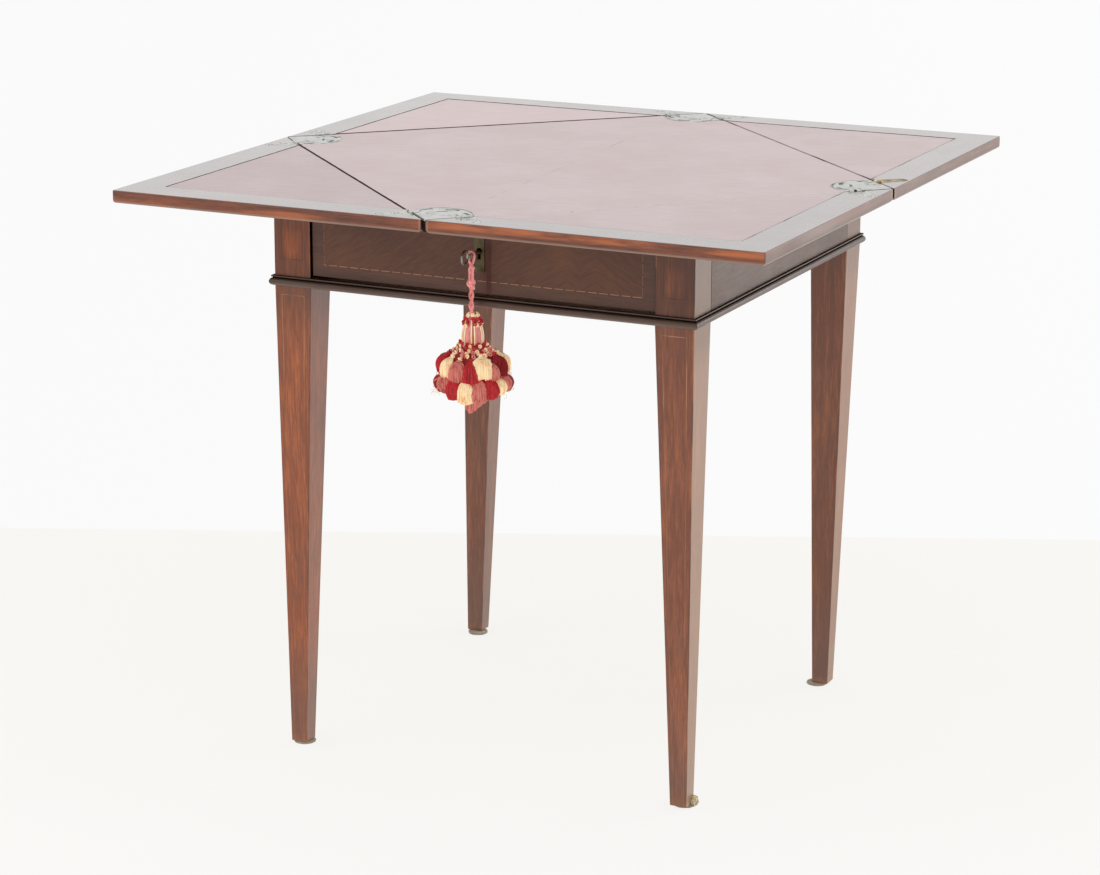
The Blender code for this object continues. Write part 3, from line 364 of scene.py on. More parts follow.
class Finish:
    """A procedural material, or the room's light, built up node by node."""

    def __init__(self, name, room=False, **constants):
        self.material = (bpy.data.worlds if room else bpy.data.materials).new(name)
        self.material.use_nodes = True
        self.tree = self.material.node_tree
        self.surface = None if room else self.tree.nodes["Principled BSDF"]
        for socket, value in constants.items():
            self.surface.inputs[socket.replace("_", " ")].default_value = value
        self.place = None if room else self.node("ShaderNodeTexCoord", out="Object")
        self.parts = None

    def node(self, kind, settings=None, values=None, out=0):
        """A new node of a kind, with its settings, and with a value or a link for each socket named."""
        made = self.tree.nodes.new(kind)
        for name, value in (settings or {}).items():
            setattr(made, name, value)
        for key, value in (values or {}).items():
            if isinstance(value, Field):
                self.tree.links.new(value.socket, made.inputs[key])
            else:
                made.inputs[key].default_value = value
        return Field(self, made.outputs[out])

    def axes(self):
        """The surface's x, y and z, each on its own."""
        if self.parts is None:
            split = self.node("ShaderNodeSeparateXYZ", None, {0: self.place}).socket.node
            self.parts = [Field(self, output) for output in split.outputs]
        return self.parts

    def scaled(self, scale, turn=0.0):
        """Object coordinates, stretched along their axes and then turned about the upright one."""
        return self.node("ShaderNodeMapping", None, {0: self.place, 2: (0, 0, turn), 3: scale})

    def cloud(self, where, scale, detail=2.0, roughness=0.5, distortion=0.0):
        """Smooth noise round 0.5."""
        values = {"Vector": where, "Scale": scale, "Detail": detail, "Roughness": roughness}
        return self.node("ShaderNodeTexNoise", None, {**values, "Distortion": distortion})

    def mix(self, first, second, share):
        """Two colours blended by a share from 0 to 1."""
        first, second = ((*c, 1.0) if isinstance(c, (tuple, list)) else c for c in (first, second))
        settings = {"data_type": "RGBA", "clamp_factor": True}
        return self.node("ShaderNodeMix", settings, {0: share, 6: first, 7: second}, out=2)

    def stain(self, colour, share, *rgb):
        """A colour, covered by a share from 0 to 1 with a screen colour from 0 to 255."""
        return self.mix(colour, shade(*rgb), share)

    def feed(self, socket, value):
        """Links a value to a socket of the Principled shader."""
        self.tree.links.new(value.socket, self.surface.inputs[socket])

    def show(self, shader):
        """Sends a shader to the output."""
        output = next(node for node in self.tree.nodes if node.type.startswith("OUTPUT"))
        self.tree.links.new(shader.socket, output.inputs["Surface"])

    def matt(self, share, *rgb):
        """Covers a share of the surface with a colour that has no gloss."""
        values = {"Base Color": (*shade(*rgb), 1.0), "Roughness": 1.0, "Specular IOR Level": 0.0}
        plain = self.node("ShaderNodeBsdfPrincipled", None, values)
        glossy = Field(self, self.surface.outputs[0])
        self.show(self.node("ShaderNodeMixShader", None, {0: share, 1: glossy, 2: plain}))

    def turned(self, side, ahead):
        """The angle whose tangent is side over ahead, all the way round."""
        return self.node("ShaderNodeMath", {"operation": "ARCTAN2"}, {0: side, 1: ahead})

    def bump(self, height, strength, distance):
        values = {"Height": height, "Strength": strength, "Distance": distance}
        self.feed("Normal", self.node("ShaderNodeBump", None, values))


# The stretch of a pattern along each axis, and how fine the patterns of the wood are across it
ALONG = {"x": (0.5, 8, 8), "y": (8, 0.5, 8), "z": (8, 8, 0.5)}
RIBBONS = 7.0
STREAKS = 42.0
FINE_STREAKS = 96.0
PORES = 95.0
PORE_STRETCH = 1.6


def wood(finish, dark, light, along, turn=0.0, figure=1.0, open_grain=0.55):
    """Straight grain: broad ribbons, fine streaks and short open pores.

    Returns its colour and its pores.
    """
    dark, light = tuple(dark), tuple(light)
    long = finish.scaled(ALONG[along], turn)
    ribbon = finish.cloud(long, RIBBONS, 4.0, 0.6, 0.6)
    streak = finish.cloud(long, STREAKS, 3.0, 0.6)
    fine = finish.cloud(long, FINE_STREAKS, 2.0, 0.6)
    pore = finish.cloud(finish.scaled(tuple(PORE_STRETCH * s for s in ALONG[along]), turn), PORES)
    cloud = finish.cloud(finish.place, 5.0)
    sum_of_all = ribbon * 1.5 * figure + streak + fine * 0.8 + cloud * 0.6
    tone = (sum_of_all - 0.95 - 0.25 * figure).eased(0.35, 1.25)
    colour = finish.mix(dark, light, tone)
    pores = pore.eased(0.6, 0.74)
    colour = finish.mix(colour, tuple(0.45 * c for c in dark), pores * open_grain)
    return colour, pores


def polish(finish, pores, base, worn):
    """Roughness and relief of old polish over the grain."""
    smudge = finish.cloud(finish.place, 16.0, 3.0, 0.6)
    finish.feed("Roughness", base + worn * smudge + pores * 0.12)
    finish.bump(1.0 - pores, 0.12, 0.0004)


def settings():
    return bpy.context.scene.card_table


def dress(finish, *names):
    """Gives CAD nodes their material."""
    for name in names:
        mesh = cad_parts[name].data
        mesh.materials.clear()
        mesh.materials.append(finish.material)


def leg_wood(depth, side):
    """Mahogany of one leg, whose lines follow its taper and lean, and whose block has an inlaid panel."""
    woods = settings().woods
    on_left = side == "left"
    finish = Finish(f"leg_wood_{depth}_{side}", IOR=1.5, Coat_IOR=1.6, Coat_Roughness=0.12)
    tint = LEG_TINTS[depth, side]
    dark, light = ([c * t for c, t in zip(shown, tint)] for shown in (woods.leg_dark, woods.leg_light))
    colour, pores = wood(finish, dark, light, "z", 0.4 * SIGNS[side] + 0.2 * SIGNS[depth], 0.7)
    x, y, z = finish.axes()
    down = ((LEG_TOP - z) / (LEG_TOP - LEG_LOW)).most(0.0).least(1.0)
    lean = LEG_LEANS[depth, side]
    rightwards = x - SIGNS[side] * BLOCK_MIDDLE - down * lean[0]
    frontwards = SIGNS[depth] * (y - SIGNS[depth] * BLOCK_MIDDLE - down * lean[1])
    u = abs(rightwards)
    v = abs(frontwards)
    outer = (v > u) * (frontwards > 0.0)
    half = BLOCK_HALF + down * (FOOT_HALF - BLOCK_HALF)
    across = u.least(v) / half
    # Stringing on the front and back faces, broken where it has worn
    patchy = finish.cloud(finish.scaled((1, 1, 0.25)), 60.0).eased(0.35, 0.62)
    below = z < LEG_LINE_TOP + STRING_WIDTH
    upright = (abs(across - LEG_LINE_SHARE) * half).eased(0.0008, 0.0004) * below
    level = abs(z - LEG_LINE_TOP).eased(0.0007, 0.0003) * (across < LEG_LINE_SHARE + 0.02)
    high = (z - LEG_TOP).eased(-0.22, -0.03) * 0.5 + 0.25
    lines = (upright * high).most(level) * (patchy * 0.6 + 0.2) * outer
    colour = finish.mix(colour, tuple(woods.line), lines)
    # The block's panel stands between dark lines
    upright = (abs(across * half - PANEL_HALF) - 0.0004).eased(0.0008, 0.0) * (z > PANEL_FOOT)
    level = abs(z - PANEL_FOOT).eased(0.0011, 0.0004) * (across * half < PANEL_HALF + 0.0003)
    lines = upright.most(level) * (z > LEG_TOP + 0.01) * (patchy * 0.5 + 0.5) * outer
    colour = finish.mix(colour, tuple(0.2 * c for c in woods.leg_dark), lines * 0.5)
    # Painted shade from the overhanging top darkens the blocks above the moulding,
    # but for the middle of their panel, and the legs just under it.
    above = z > BLOCK_LOW
    glow = (across * half).eased(0.017, 0.006) * abs(z - PANEL_MIDDLE).eased(0.024, 0.008)
    glow = glow * (1.0 if on_left else 0.6)
    colour = finish.stain(colour, above * (1.0 - glow) * (0.42 if on_left else 0.55), 60, 34, 20)
    shaded = (z - LEG_TOP).eased(-0.09, 0.0) * (1.0 - above)
    colour = finish.stain(colour, shaded * LEG_SHADES[depth, side], 66, 44, 34)
    # Dirt dulls the polish in long smears, and the legs are greyer towards the floor.
    # The foot is worn to bare orange wood
    smear = finish.cloud(finish.scaled((1, 1, 0.14)), 46.0, 3.0, 0.6).eased(0.52, 0.78)
    colour = finish.stain(colour, smear * 0.5, 74, 52, 46)
    colour = finish.stain(colour, z.eased(0.2, 0.02) * 0.4, 104, 84, 74)
    rubbed = (z + finish.cloud(finish.place, 90.0) * 0.02).eased(0.026, 0.01)
    colour = finish.stain(colour, rubbed * 0.45, 176, 116, 74)
    # Painted light on the right side, and painted shade on a stretch of it just under the moulding
    right_side = (u > v) * (rightwards > 0.0)
    painted_light, share = LEG_SIDE_LIGHTS[depth, side]
    colour = finish.stain(colour, right_side * share, *painted_light)
    side_shade = (z - LEG_TOP).eased(-0.06, -0.01) * right_side
    colour = finish.stain(colour, side_shade * (0.1 if on_left else 0.34), 74, 58, 48)
    # The arrises are dark where they aren't rubbed through
    wear = finish.cloud(finish.scaled((1, 1, 0.3)), 45.0, 3.0)
    arris = (across - 0.91).eased(0.0, 0.07)
    colour = finish.stain(colour, arris * wear.eased(0.56, 0.44) * 0.5, 52, 32, 24)
    colour = finish.stain(colour, arris * wear.eased(0.52, 0.66) * 0.6, 196, 124, 76)
    # The faces towards the drawer are painted black, as shade in its narrow gaps
    gap_shade = (u > v) * above * (rightwards * SIGNS[side] < 0.0)
    finish.feed("Base Color", colour)
    finish.feed("Coat Weight", 0.25 - above * 0.2)
    polish(finish, pores, 0.2, 0.3)
    finish.matt(gap_shade, 14, 9, 7)
    return finish


def plain_wood(name, dark, light, along, coat=0.25, rough=0.24, figure=1.0):
    """Polished or bare wood with straight grain."""
    finish = Finish(name, IOR=1.5, Coat_IOR=1.6, Coat_Roughness=0.12, Coat_Weight=coat)
    colour, pores = wood(finish, dark, light, along, 0.0, figure)
    finish.feed("Base Color", colour)
    polish(finish, pores, rough, 0.25)
    return finish


def moulding_wood(side, along):
    """The moulding: dirt and painted shade on its ledge and groove, and a painted sheen low on its bead."""
    colour = settings().woods.moulding
    finish = Finish(f"moulding_wood_{side}", IOR=1.5, Coat_IOR=1.5, Coat_Roughness=0.2, Coat_Weight=0.12)
    tone, pores = wood(finish, tuple(0.6 * c for c in colour), colour, along)
    height = finish.axes()[2] - LEG_TOP
    # The bead is painted paler towards its foot, as a sheen
    tone = finish.stain(tone, height.eased(0.006, 0.0005) * 0.55, 132, 112, 100)
    finish.feed("Base Color", tone)
    polish(finish, pores, 0.3, 0.25)
    # Dirt and painted shade blacken the ledge and the groove
    worn = finish.cloud(finish.place, 60.0, 3.0).eased(0.35, 0.65)
    groove = abs(height - MOULDING_GROOVE).eased(0.0016, 0.0007)
    ledge = (height > MOULDING_LEDGE) * (1.0 - worn * 0.2)
    finish.matt(groove.most(ledge) * 0.92, 20, 13, 10)
    return finish


def drawer_veneer():
    """Book-matched veneer: its grain rises and falls in zigzags, inside a rectangle of dashed stringing."""
    woods = settings().woods
    finish = Finish("drawer_veneer", IOR=1.45, Coat_IOR=1.5, Coat_Roughness=0.25, Coat_Weight=0.06)
    x, y, z = finish.axes()
    # The grain rises to the right up to the first match, and turns over at each one after it
    first, second, third = VENEER_MATCHES
    match = abs(x - second) - abs(x - first) - abs(x - third)
    sway = finish.cloud(finish.place, 30.0) * 0.006
    slant = z * 0.86 - match * 0.5 + sway
    run = z * 0.5 + match * 0.86
    grain = finish.node("ShaderNodeCombineXYZ", None, {0: slant * 110.0, 1: run * 12.0, 2: x * 0.7})
    streak = finish.cloud(grain, 2.2, 4.0, 0.65)
    fine = finish.cloud(grain, 6.0, 2.0, 0.6)
    cloud = finish.cloud(finish.place, 8.0)
    tone = (streak * 0.6 + fine * 0.6 + cloud * 0.7 - 0.45).eased(0.2, 0.9)
    colour = finish.mix(tuple(woods.drawer_dark), tuple(woods.drawer_light), tone)
    glow = abs(x - 0.1).eased(0.11, 0.01) * cloud.eased(0.3, 0.65)
    colour = finish.stain(colour, glow * 0.5, 146, 92, 52)
    border = (abs(x) > STRING_HALF).most(z < STRING_LOW).most(z > STRING_HIGH)
    plain, pores = wood(finish, woods.drawer_dark, woods.drawer_light, "x")
    colour = finish.mix(colour, finish.stain(plain, 0.35, 84, 62, 54), border)
    # Dashed stringing, rubbed thin in places
    dash_x = ((x + 0.003) % DASH_STEP) < DASH_LENGTH
    dash_z = ((z - STRING_LOW) % DASH_STEP) < DASH_LENGTH
    inside = (abs(x) < STRING_HALF + STRING_WIDTH) * (z > STRING_LOW - STRING_WIDTH)
    inside = inside * (z < STRING_HIGH + STRING_WIDTH)
    level = abs(z - STRING_LOW).least(abs(z - STRING_HIGH)).eased(0.0007, 0.0003) * dash_x
    upright = abs(abs(x) - STRING_HALF).eased(0.0008, 0.0004) * dash_z * 0.3
    rubbed = finish.cloud(finish.place, 120.0) * 0.7 + 0.4
    colour = finish.stain(colour, level.most(upright) * inside * rubbed, 190, 134, 100)
    # The dark patch that a repair left beside the lock
    patch = abs(x - 0.0125).eased(0.004, 0.0028) * abs(z - 0.668).eased(0.045, 0.03)
    colour = finish.stain(colour, patch * 0.7, 70, 30, 20)
    behind = 1.0 - (y < DRAWER_FACE + 0.004)
    finish.feed("Base Color", finish.stain(colour, behind, 110, 72, 50))
    polish(finish, pores, 0.3, 0.2)
    return finish


def rebate_shade(finish):
    """Painted shade along the edge of the baize: black at the back and on the left, faint at the front."""
    x, y, z = finish.axes()
    side = abs(x) > abs(y)
    back = (1.0 - side) * (y > 0.0)
    front = (1.0 - side) * (y < 0.0)
    right = side * (x > 0.0)
    ragged = finish.cloud(finish.place, 70.0, 3.0) * 0.002 - 0.001
    away = abs(abs(x).most(abs(y)) - REBATE + ragged)
    width = 0.0016 + back * 0.0012
    broken = finish.cloud(finish.place, 11.0).eased(0.36, 0.56)
    strength = 0.92 - front * 0.62 - right * 0.3
    return (away / width).eased(1.0, 0.5) * strength * (1.0 - broken * (front + right) * 0.6)


def leaf_wood(name):
    """A top board: glossy border above, warm edges with painted highlights, and dark polish underneath."""
    woods = settings().woods
    finish = Finish(name, IOR=1.5, Coat_IOR=2.0, Coat_Roughness=0.09)
    x, y, z = finish.axes()
    edge_x = abs(x) > abs(y)
    side_grain, pores = wood(finish, woods.leaf_dark, woods.leaf_light, "x", figure=1.2)
    end_grain, _ = wood(finish, woods.leaf_dark, woods.leaf_light, "y", figure=1.2)
    edges = finish.mix(side_grain, end_grain, edge_x)
    # Warm wood shows through the polish in long patches, low on the left half and high on the right half
    along = finish.mix(finish.scaled((1, 8, 8)), finish.scaled((8, 1, 8)), edge_x)
    patch = finish.cloud(along, 7.0, 4.0, 0.65).eased(0.37, 0.62)
    height = z - TOP_LOW
    upper_half = height.eased(0.006, 0.0095)
    lower_half = height.eased(0.0115, 0.008)
    rightward = x.eased(-0.06, 0.06)
    warm = upper_half * rightward + lower_half * (1.0 - rightward)
    edges = finish.stain(edges, warm * patch * (rightward * 0.2 + 0.62), 200, 108, 54)
    edges = finish.stain(edges, height.eased(0.0146, 0.0158) * 0.5, 70, 42, 32)
    # Painted sheen makes the side that faces the light greyer, and painted reflections make lower arrises
    # paler, and white on that side
    outer = abs(x).most(abs(y)) > OUTER_FACES
    right_side = edge_x * (x > 0.0) * outer
    edges = finish.stain(edges, right_side * 0.75, 92, 66, 52)
    edges = finish.stain(edges, height.eased(0.0042, 0.0022) * (outer * 0.4 + 0.2), 156, 130, 112)
    edges = finish.stain(edges, height.eased(0.0022, 0.0012) * right_side * 0.6, 214, 192, 174)
    # Painted highlights on the leaves' rounded ends, and painted black shade in the gap between them
    tip = abs(x).least(abs(y))
    edges = finish.stain(edges, abs(tip - 0.0052).eased(0.0016, 0.0006) * outer * 0.5, 168, 132, 112)
    gap_shade = (tip < 0.0032) * outer
    edges = finish.stain(edges, gap_shade, 24, 14, 10)
    # The border's grain runs along each side, up to a dark mitre
    border_x, _ = wood(finish, woods.border_dark, woods.border_light, "x", figure=0.6, open_grain=0.15)
    border_y, _ = wood(finish, woods.border_dark, woods.border_light, "y", figure=0.6, open_grain=0.15)
    border = finish.mix(border_x, border_y, edge_x)
    mitre = abs(abs(x) - abs(y)).eased(0.0009, 0.0004) * (x * x + y * y > 0.2)
    border = finish.stain(border, mitre * 0.8, 60, 44, 38)
    upper = z > TOP_HIGH - 0.0004
    under = z < TOP_LOW + 0.0004
    colour = finish.mix(edges, border, upper)
    colour = finish.mix(colour, finish.stain(side_grain, 0.6, 74, 48, 36), under)
    finish.feed("Base Color", colour)
    finish.feed("Coat Weight", (0.12 + upper * 0.88) * (1.0 - gap_shade))
    smudge = finish.cloud(finish.place, 16.0, 3.0, 0.6)
    rough = 0.3 + smudge * 0.2 + pores * 0.1 * (1.0 - upper)
    finish.feed("Roughness", rough * (1.0 - upper * 0.3) + gap_shade * 0.5)
    finish.bump((1.0 - pores) * (1.0 - upper), 0.1, 0.0004)
    # Painted shade along the baize's edge, without gloss
    finish.matt(rebate_shade(finish) * upper, 62, 46, 42)
    return finish


def metal(name, colour, tarnish, rough, dull=0.4, marks=None):
    """Old metal: dulled in clouds, with tarnish in the hollows and fine scratches."""
    finish = Finish(name, Metallic=1.0, Specular_IOR_Level=0.2)
    cloud = finish.cloud(finish.place, 70.0, 4.0, 0.6).eased(0.42, 0.7)
    speck = finish.cloud(finish.place, 420.0).eased(0.6, 0.72)
    scratch = finish.cloud(finish.scaled((14, 1.2, 6), 0.6), 120.0)
    tone = finish.mix(tuple(colour), tuple(tarnish), cloud * dull + speck * 0.8 * dull)
    height = scratch * 0.3 - speck * 0.4
    if marks:
        dark = marks(finish)
        tone = finish.mix(tone, tuple(0.2 * c for c in tarnish), dark)
        height = height - dark
        finish.feed("Metallic", 1.0 - dark)
    finish.feed("Base Color", tone)
    finish.feed("Roughness", rough + cloud * 0.2 + scratch * 0.08)
    finish.bump(height, 0.25, 0.0003)
    return finish


def curls(finish, fineness, weight):
    """Engraved scrolls: the contour lines of a smooth cloud, broken off here and there."""
    lines = abs(finish.cloud(finish.place, fineness, 0.0) - 0.5).eased(0.022, 0.008)
    kept = finish.cloud(finish.place, fineness * 0.8, 1.0, 0.5, 0.4) > 0.46
    return lines * kept * weight


def fan_marks(corner, inward):
    """Engraving of a hinge's fan: lines that follow its rim, with scrolls between them."""

    def marks(finish):
        x, y, z = finish.axes()
        along = (x - corner.x) * inward.x + (y - corner.y) * inward.y
        across = (x - corner.x) * inward.y - (y - corner.y) * inward.x
        reach = (along * along + across * across) ** 0.5
        angle = finish.turned(across, along)
        # 1 at the fan's rim, and the same share of the way out along every line below it
        outline = reach / ((angle * 2.0 + math.pi / 2).sine() * FAN_SWELL + FAN_SIDE)

        def strokes(place, waves, start, kept, low, high):
            """A wavy line of separate strokes."""
            line = abs(outline - place - (angle * waves).sine() * 0.03).eased(low, high)
            return line * ((angle * waves + start).sine() > kept)

        worn = finish.cloud(finish.place, 60.0).eased(0.4, 0.56)
        rim = abs(outline - 0.965).eased(0.026, 0.012) * 0.8 * (worn * 0.8 + 0.2)
        outer = strokes(0.86, 13.0, 0.9, 0.0, 0.042, 0.024)
        inner = strokes(0.7, 11.0, 2.2, 0.35, 0.026, 0.014)
        broken = (angle * 31.0 + outline * 14.0).sine() > -0.25
        scrolls = curls(finish, 105.0, 0.85) * (outline > 0.4) * (outline < 0.86) * broken
        # Dirt in the joint with the tongues, wider on one side, but not on the barrels that rise there
        width = 1.0 + (angle < 0.0) * 1.2
        joint = ((math.pi / 4 - abs(angle)) * reach / width).eased(0.002, 0.0012) * 0.9
        joint = joint * (z < TOP_HIGH + 0.0001)
        return rim.most(outer).most(inner).most(scrolls).most(joint) * (z > PLATE_FACE)

    return marks


def tongue_marks(finish):
    """Engraving of a hinge's tongue: loose scrolls."""
    return curls(finish, 130.0, 1.0) * (finish.axes()[2] > PLATE_FACE)


def seam_marks(finish):
    """The baize's edges at the seams: painted shade on three, and a pale line on the front right one."""
    x, y, z = finish.axes()
    away = abs(abs(x + y).most(abs(x - y)) * DIAGONAL - SEAM)
    front_right = x - y > NEAR_SEAM
    back_left = y - x > NEAR_SEAM
    back_right = x + y > NEAR_SEAM
    ragged = finish.cloud(finish.place, 60.0) * 0.0012
    dark = (away + ragged - back_left * 0.0014).eased(0.0032, 0.0018) * (1.0 - front_right)
    thin = finish.cloud(finish.place, 9.0).eased(0.4, 0.6) * back_right
    return dark * (0.95 - thin * 0.5), (away + ragged).eased(0.0034, 0.002) * front_right


def cloth(name, colour, worn, weave, sheen=0.3, seams=False, creases=None):
    """Woven wool: a fine weave, a clouded nap, rubbed patches, painted shade at seams and dark creases."""
    finish = Finish(name, Roughness=0.95, Sheen_Weight=sheen, Sheen_Roughness=0.6, IOR=1.3)
    x, y, z = finish.axes()
    warp = (x * weave).sine()
    weft = (y * weave).sine()
    threads = warp * weft
    nap = finish.cloud(finish.place, 900.0, 3.0, 0.6)
    cloud = finish.cloud(finish.place, 9.0, 4.0, 0.6).eased(0.35, 0.7)
    # Fine uneven rows of weft
    ahead, aside = WEFT_WAY
    along = x * ahead + y * aside
    across = y * ahead - x * aside
    drawn = finish.node("ShaderNodeCombineXYZ", None, {0: along * 4.0, 1: across * 50.0})
    rows = finish.cloud(drawn, 6.0, 3.0, 0.6)
    tone = finish.mix(tuple(colour), tuple(worn), cloud * 0.4 + rows * 2.0 - 0.85)
    hollows = (nap.eased(0.5, 0.8) * 0.3 + threads * 0.05).most(0.0)
    tone = finish.mix(tone, tuple(0.72 * c for c in colour), hollows)
    height = nap + threads * 0.4
    if seams:
        seam_shade, rubbed = seam_marks(finish)
        tone = finish.stain(tone, rubbed * 0.8, 232, 220, 218)
        # A painted glow on the pale seam's sides keeps them from looking black in the gap's shade
        through = rubbed * (z < TOP_HIGH - 0.0012)
        finish.feed("Emission Color", finish.mix((0.0, 0.0, 0.0), shade(196, 180, 178), through))
        finish.surface.inputs["Emission Strength"].default_value = 1.0
        # Painted shade at the seams and along the baize's edge
        finish.matt(seam_shade.most(rebate_shade(finish)), 60, 44, 40)
    if creases:
        dark, light = creases(finish)
        tone = finish.mix(tone, tuple(0.4 * c for c in colour), dark)
        if light:
            tone = finish.mix(tone, tuple(min(1.0, 1.12 * c) for c in worn), light)
        height = height - dark * 2.0
    finish.feed("Base Color", tone)
    finish.bump(height, 0.3, 0.0004)
    return finish


def thread_finish(name, colour, glow=0.1, shadow=(0.6, 0.42, 0.36)):
    """Silk thread: strands lighter and darker than one another, and a painted glow for light through them.

    shadow gives the share of each primary that the dark strands keep.
    """
    finish = Finish(name, Sheen_Weight=0.25, Sheen_Roughness=0.4, IOR=1.4, Emission_Strength=glow)
    strand = finish.cloud(finish.scaled(ALONG["z"]), 52.0, 3.0, 0.7)
    cloud = finish.cloud(finish.place, 60.0)
    colour = tuple(colour)
    deep = tuple(c * s for c, s in zip(colour, shadow))
    pale = tuple(min(1.0, 1.15 * c + 0.03) for c in colour)
    tone = finish.mix(deep, colour, (strand * 1.4 + cloud * 0.6 - 0.5).eased(0.22, 0.56))
    tone = finish.mix(tone, pale, strand.eased(0.55, 0.75) * 0.6)
    finish.feed("Base Color", tone)
    finish.feed("Emission Color", tone)
    finish.feed("Roughness", 0.55 + strand * 0.3)
    finish.bump(strand, 0.35, 0.0006)
    return finish


def linked(name, data):
    """A new object in the scene."""
    made = bpy.data.objects.new(name, data)
    bpy.context.scene.collection.objects.link(made)
    return made


def new_piece(name, mesh, finish, body, smooth=True):
    """A finished piece: its place is in its mesh, and it rides on a body."""
    mesh.name = name
    mesh.materials.clear()
    mesh.materials.append(finish.material)
    if smooth:
        mesh.shade_smooth()
    piece = linked(name, mesh)
    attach(piece, body)
    return piece


def as_mesh(name, bm):
    """A bmesh as a mesh."""
    mesh = bpy.data.meshes.new(name)
    bm.to_mesh(mesh)
    bm.free()
    return mesh


def turned_shape(outline, centre, steps):
    """A bmesh turned from an outline of radii and heights, about an upright axis through centre."""
    bm = bmesh.new()
    previous = None
    for radius, height in outline:
        vert = bm.verts.new((centre.x + radius, centre.y, height))
        if previous:
            bm.edges.new((previous, vert))
        previous = vert
    profile = bm.verts[:] + bm.edges[:]
    bmesh.ops.spin(
        bm, geom=profile, cent=centre, axis=(0, 0, 1), angle=math.tau, steps=steps, use_merge=True
    )
    return bm


def strands(name, lines, radius, sides=0, closed=False, swell=None, smooth=2):
    """Round strands along lines of points, each a smooth spline, as one mesh.

    swell gives the share of the radius at each point.
    """
    curve = bpy.data.curves.new(name, "CURVE")
    curve.dimensions = "3D"
    curve.bevel_depth = radius
    curve.bevel_resolution = sides
    curve.use_fill_caps = not closed
    for line in lines:
        spline = curve.splines.new("NURBS")
        spline.points.add(len(line) - 1)
        for index, (point, place) in enumerate(zip(spline.points, line)):
            point.co = (*place, 1.0)
            point.radius = swell[index] if swell else 1.0
        spline.order_u = 3
        spline.resolution_u = smooth
        spline.use_endpoint_u = not closed
        spline.use_cyclic_u = closed
    holder = linked(name, curve)
    graph = bpy.context.evaluated_depsgraph_get()
    mesh = bpy.data.meshes.new_from_object(holder.evaluated_get(graph))
    bpy.data.objects.remove(holder)
    bpy.data.curves.remove(curve)
    return mesh


def joined(name, meshes):
    """Several meshes as one."""
    bm = bmesh.new()
    for mesh in meshes:
        bm.from_mesh(mesh)
        bpy.data.meshes.remove(mesh)
    return as_mesh(name, bm)


class TableSettings(bpy.types.PropertyGroup):
    """All that can be changed on the card table."""

    stage: group_setting("Stage", "Camera, floor and light", StageSettings)
    woods: group_setting("Woods", "Colours of the woods", WoodSettings)
    cloths: group_setting("Cloths", "Colours of cloth and thread", ClothSettings)
    metals: group_setting("Metals", "Colours of the metals", MetalSettings)


def background_share(finish):
    """1 for rays that show the background: the camera's own, those off a shine and those through glass."""
    camera_ray, glossy_ray, clear_ray = (finish.node("ShaderNodeLightPath", out=ray) for ray in SEEN_RAYS)
    return camera_ray.most(glossy_ray).most(clear_ray)


def room_light(stage):
    """The world: even daylight on the table, behind it the wall's colour."""
    room = Finish("room", room=True)
    daylight = room.node("ShaderNodeBackground", None, {"Strength": stage.daylight, "Color": (1, 1, 1, 1)})
    seen = room.node("ShaderNodeBackground", None, {"Strength": 1.0, "Color": (*stage.wall_colour, 1.0)})
    room.show(room.node("ShaderNodeMixShader", None, {0: background_share(room), 1: daylight, 2: seen}))
    return room.material


def floor_paint(stage):
    """The floor, up to the line where it turns into the wall, in its own colour with the table's shadow."""
    paint = Finish("floor_paint", Roughness=0.9)
    x, y, z = paint.axes()
    ahead = x * WALL_WAY[0] + y * WALL_WAY[1] + WALL_REACH
    near = paint.mix(tuple(stage.far_floor_colour), tuple(stage.floor_colour), ahead.eased(0.0, 1.7))
    brighter = (x * 0.9 + y * 0.4).eased(-1.5, 3.0) * 0.5
    bright = paint.mix(tuple(stage.wall_colour), (1.0, 1.0, 1.0), brighter)
    wall = ahead.eased(0.004, -0.004)
    paint.feed("Base Color", near)
    glow = paint.node("ShaderNodeEmission", None, {0: paint.mix(near, bright, wall), 1: 1.0})
    share = background_share(paint) * (1.0 - (1.0 - wall) * stage.floor_shadow)
    lit = Field(paint, paint.surface.outputs[0])
    paint.show(paint.node("ShaderNodeMixShader", None, {0: share, 1: lit, 2: glow}))
    return paint.material


class TABLE_OT_stage(bpy.types.Operator):
    """Set up the camera, the pale floor and wall, and the soft light"""

    bl_idname = "card_table.stage"
    bl_label = "Stage"

    def execute(self, context):
        stage = settings().stage
        view = bpy.data.cameras.new("view")
        view.lens = stage.lens
        view.sensor_width = 36
        view.clip_end = 60
        camera = linked("view", view)
        camera.matrix_world = (
            Matrix.Translation(stage.eye)
            @ Matrix.Rotation(stage.turn, 4, "Z")
            @ Matrix.Rotation(math.pi / 2 - stage.rise, 4, "X")
            @ Matrix.Rotation(stage.roll, 4, "Z")
        )
        context.scene.camera = camera
        context.scene.view_settings.view_transform = "Standard"
        context.scene.world = room_light(stage)

        for name, place, power, size in (
            ("high_lamp", stage.high_lamp, stage.high_power, 2.4),
            ("side_lamp", stage.side_lamp, stage.side_power, 1.8),
        ):
            lamp = bpy.data.lights.new(name, "AREA")
            lamp.energy = power
            lamp.size = size
            holder = linked(name, lamp)
            holder.location = place
            holder.rotation_euler = (Vector(LAMP_AIM) - holder.location).to_track_quat("-Z", "Y").to_euler()
            holder.visible_camera = False

        bm = bmesh.new()
        bmesh.ops.create_grid(bm, x_segments=2, y_segments=2, size=FLOOR_REACH)
        floor = linked("floor", as_mesh("floor", bm))
        floor.data.materials.append(floor_paint(stage))
        return {"FINISHED"}


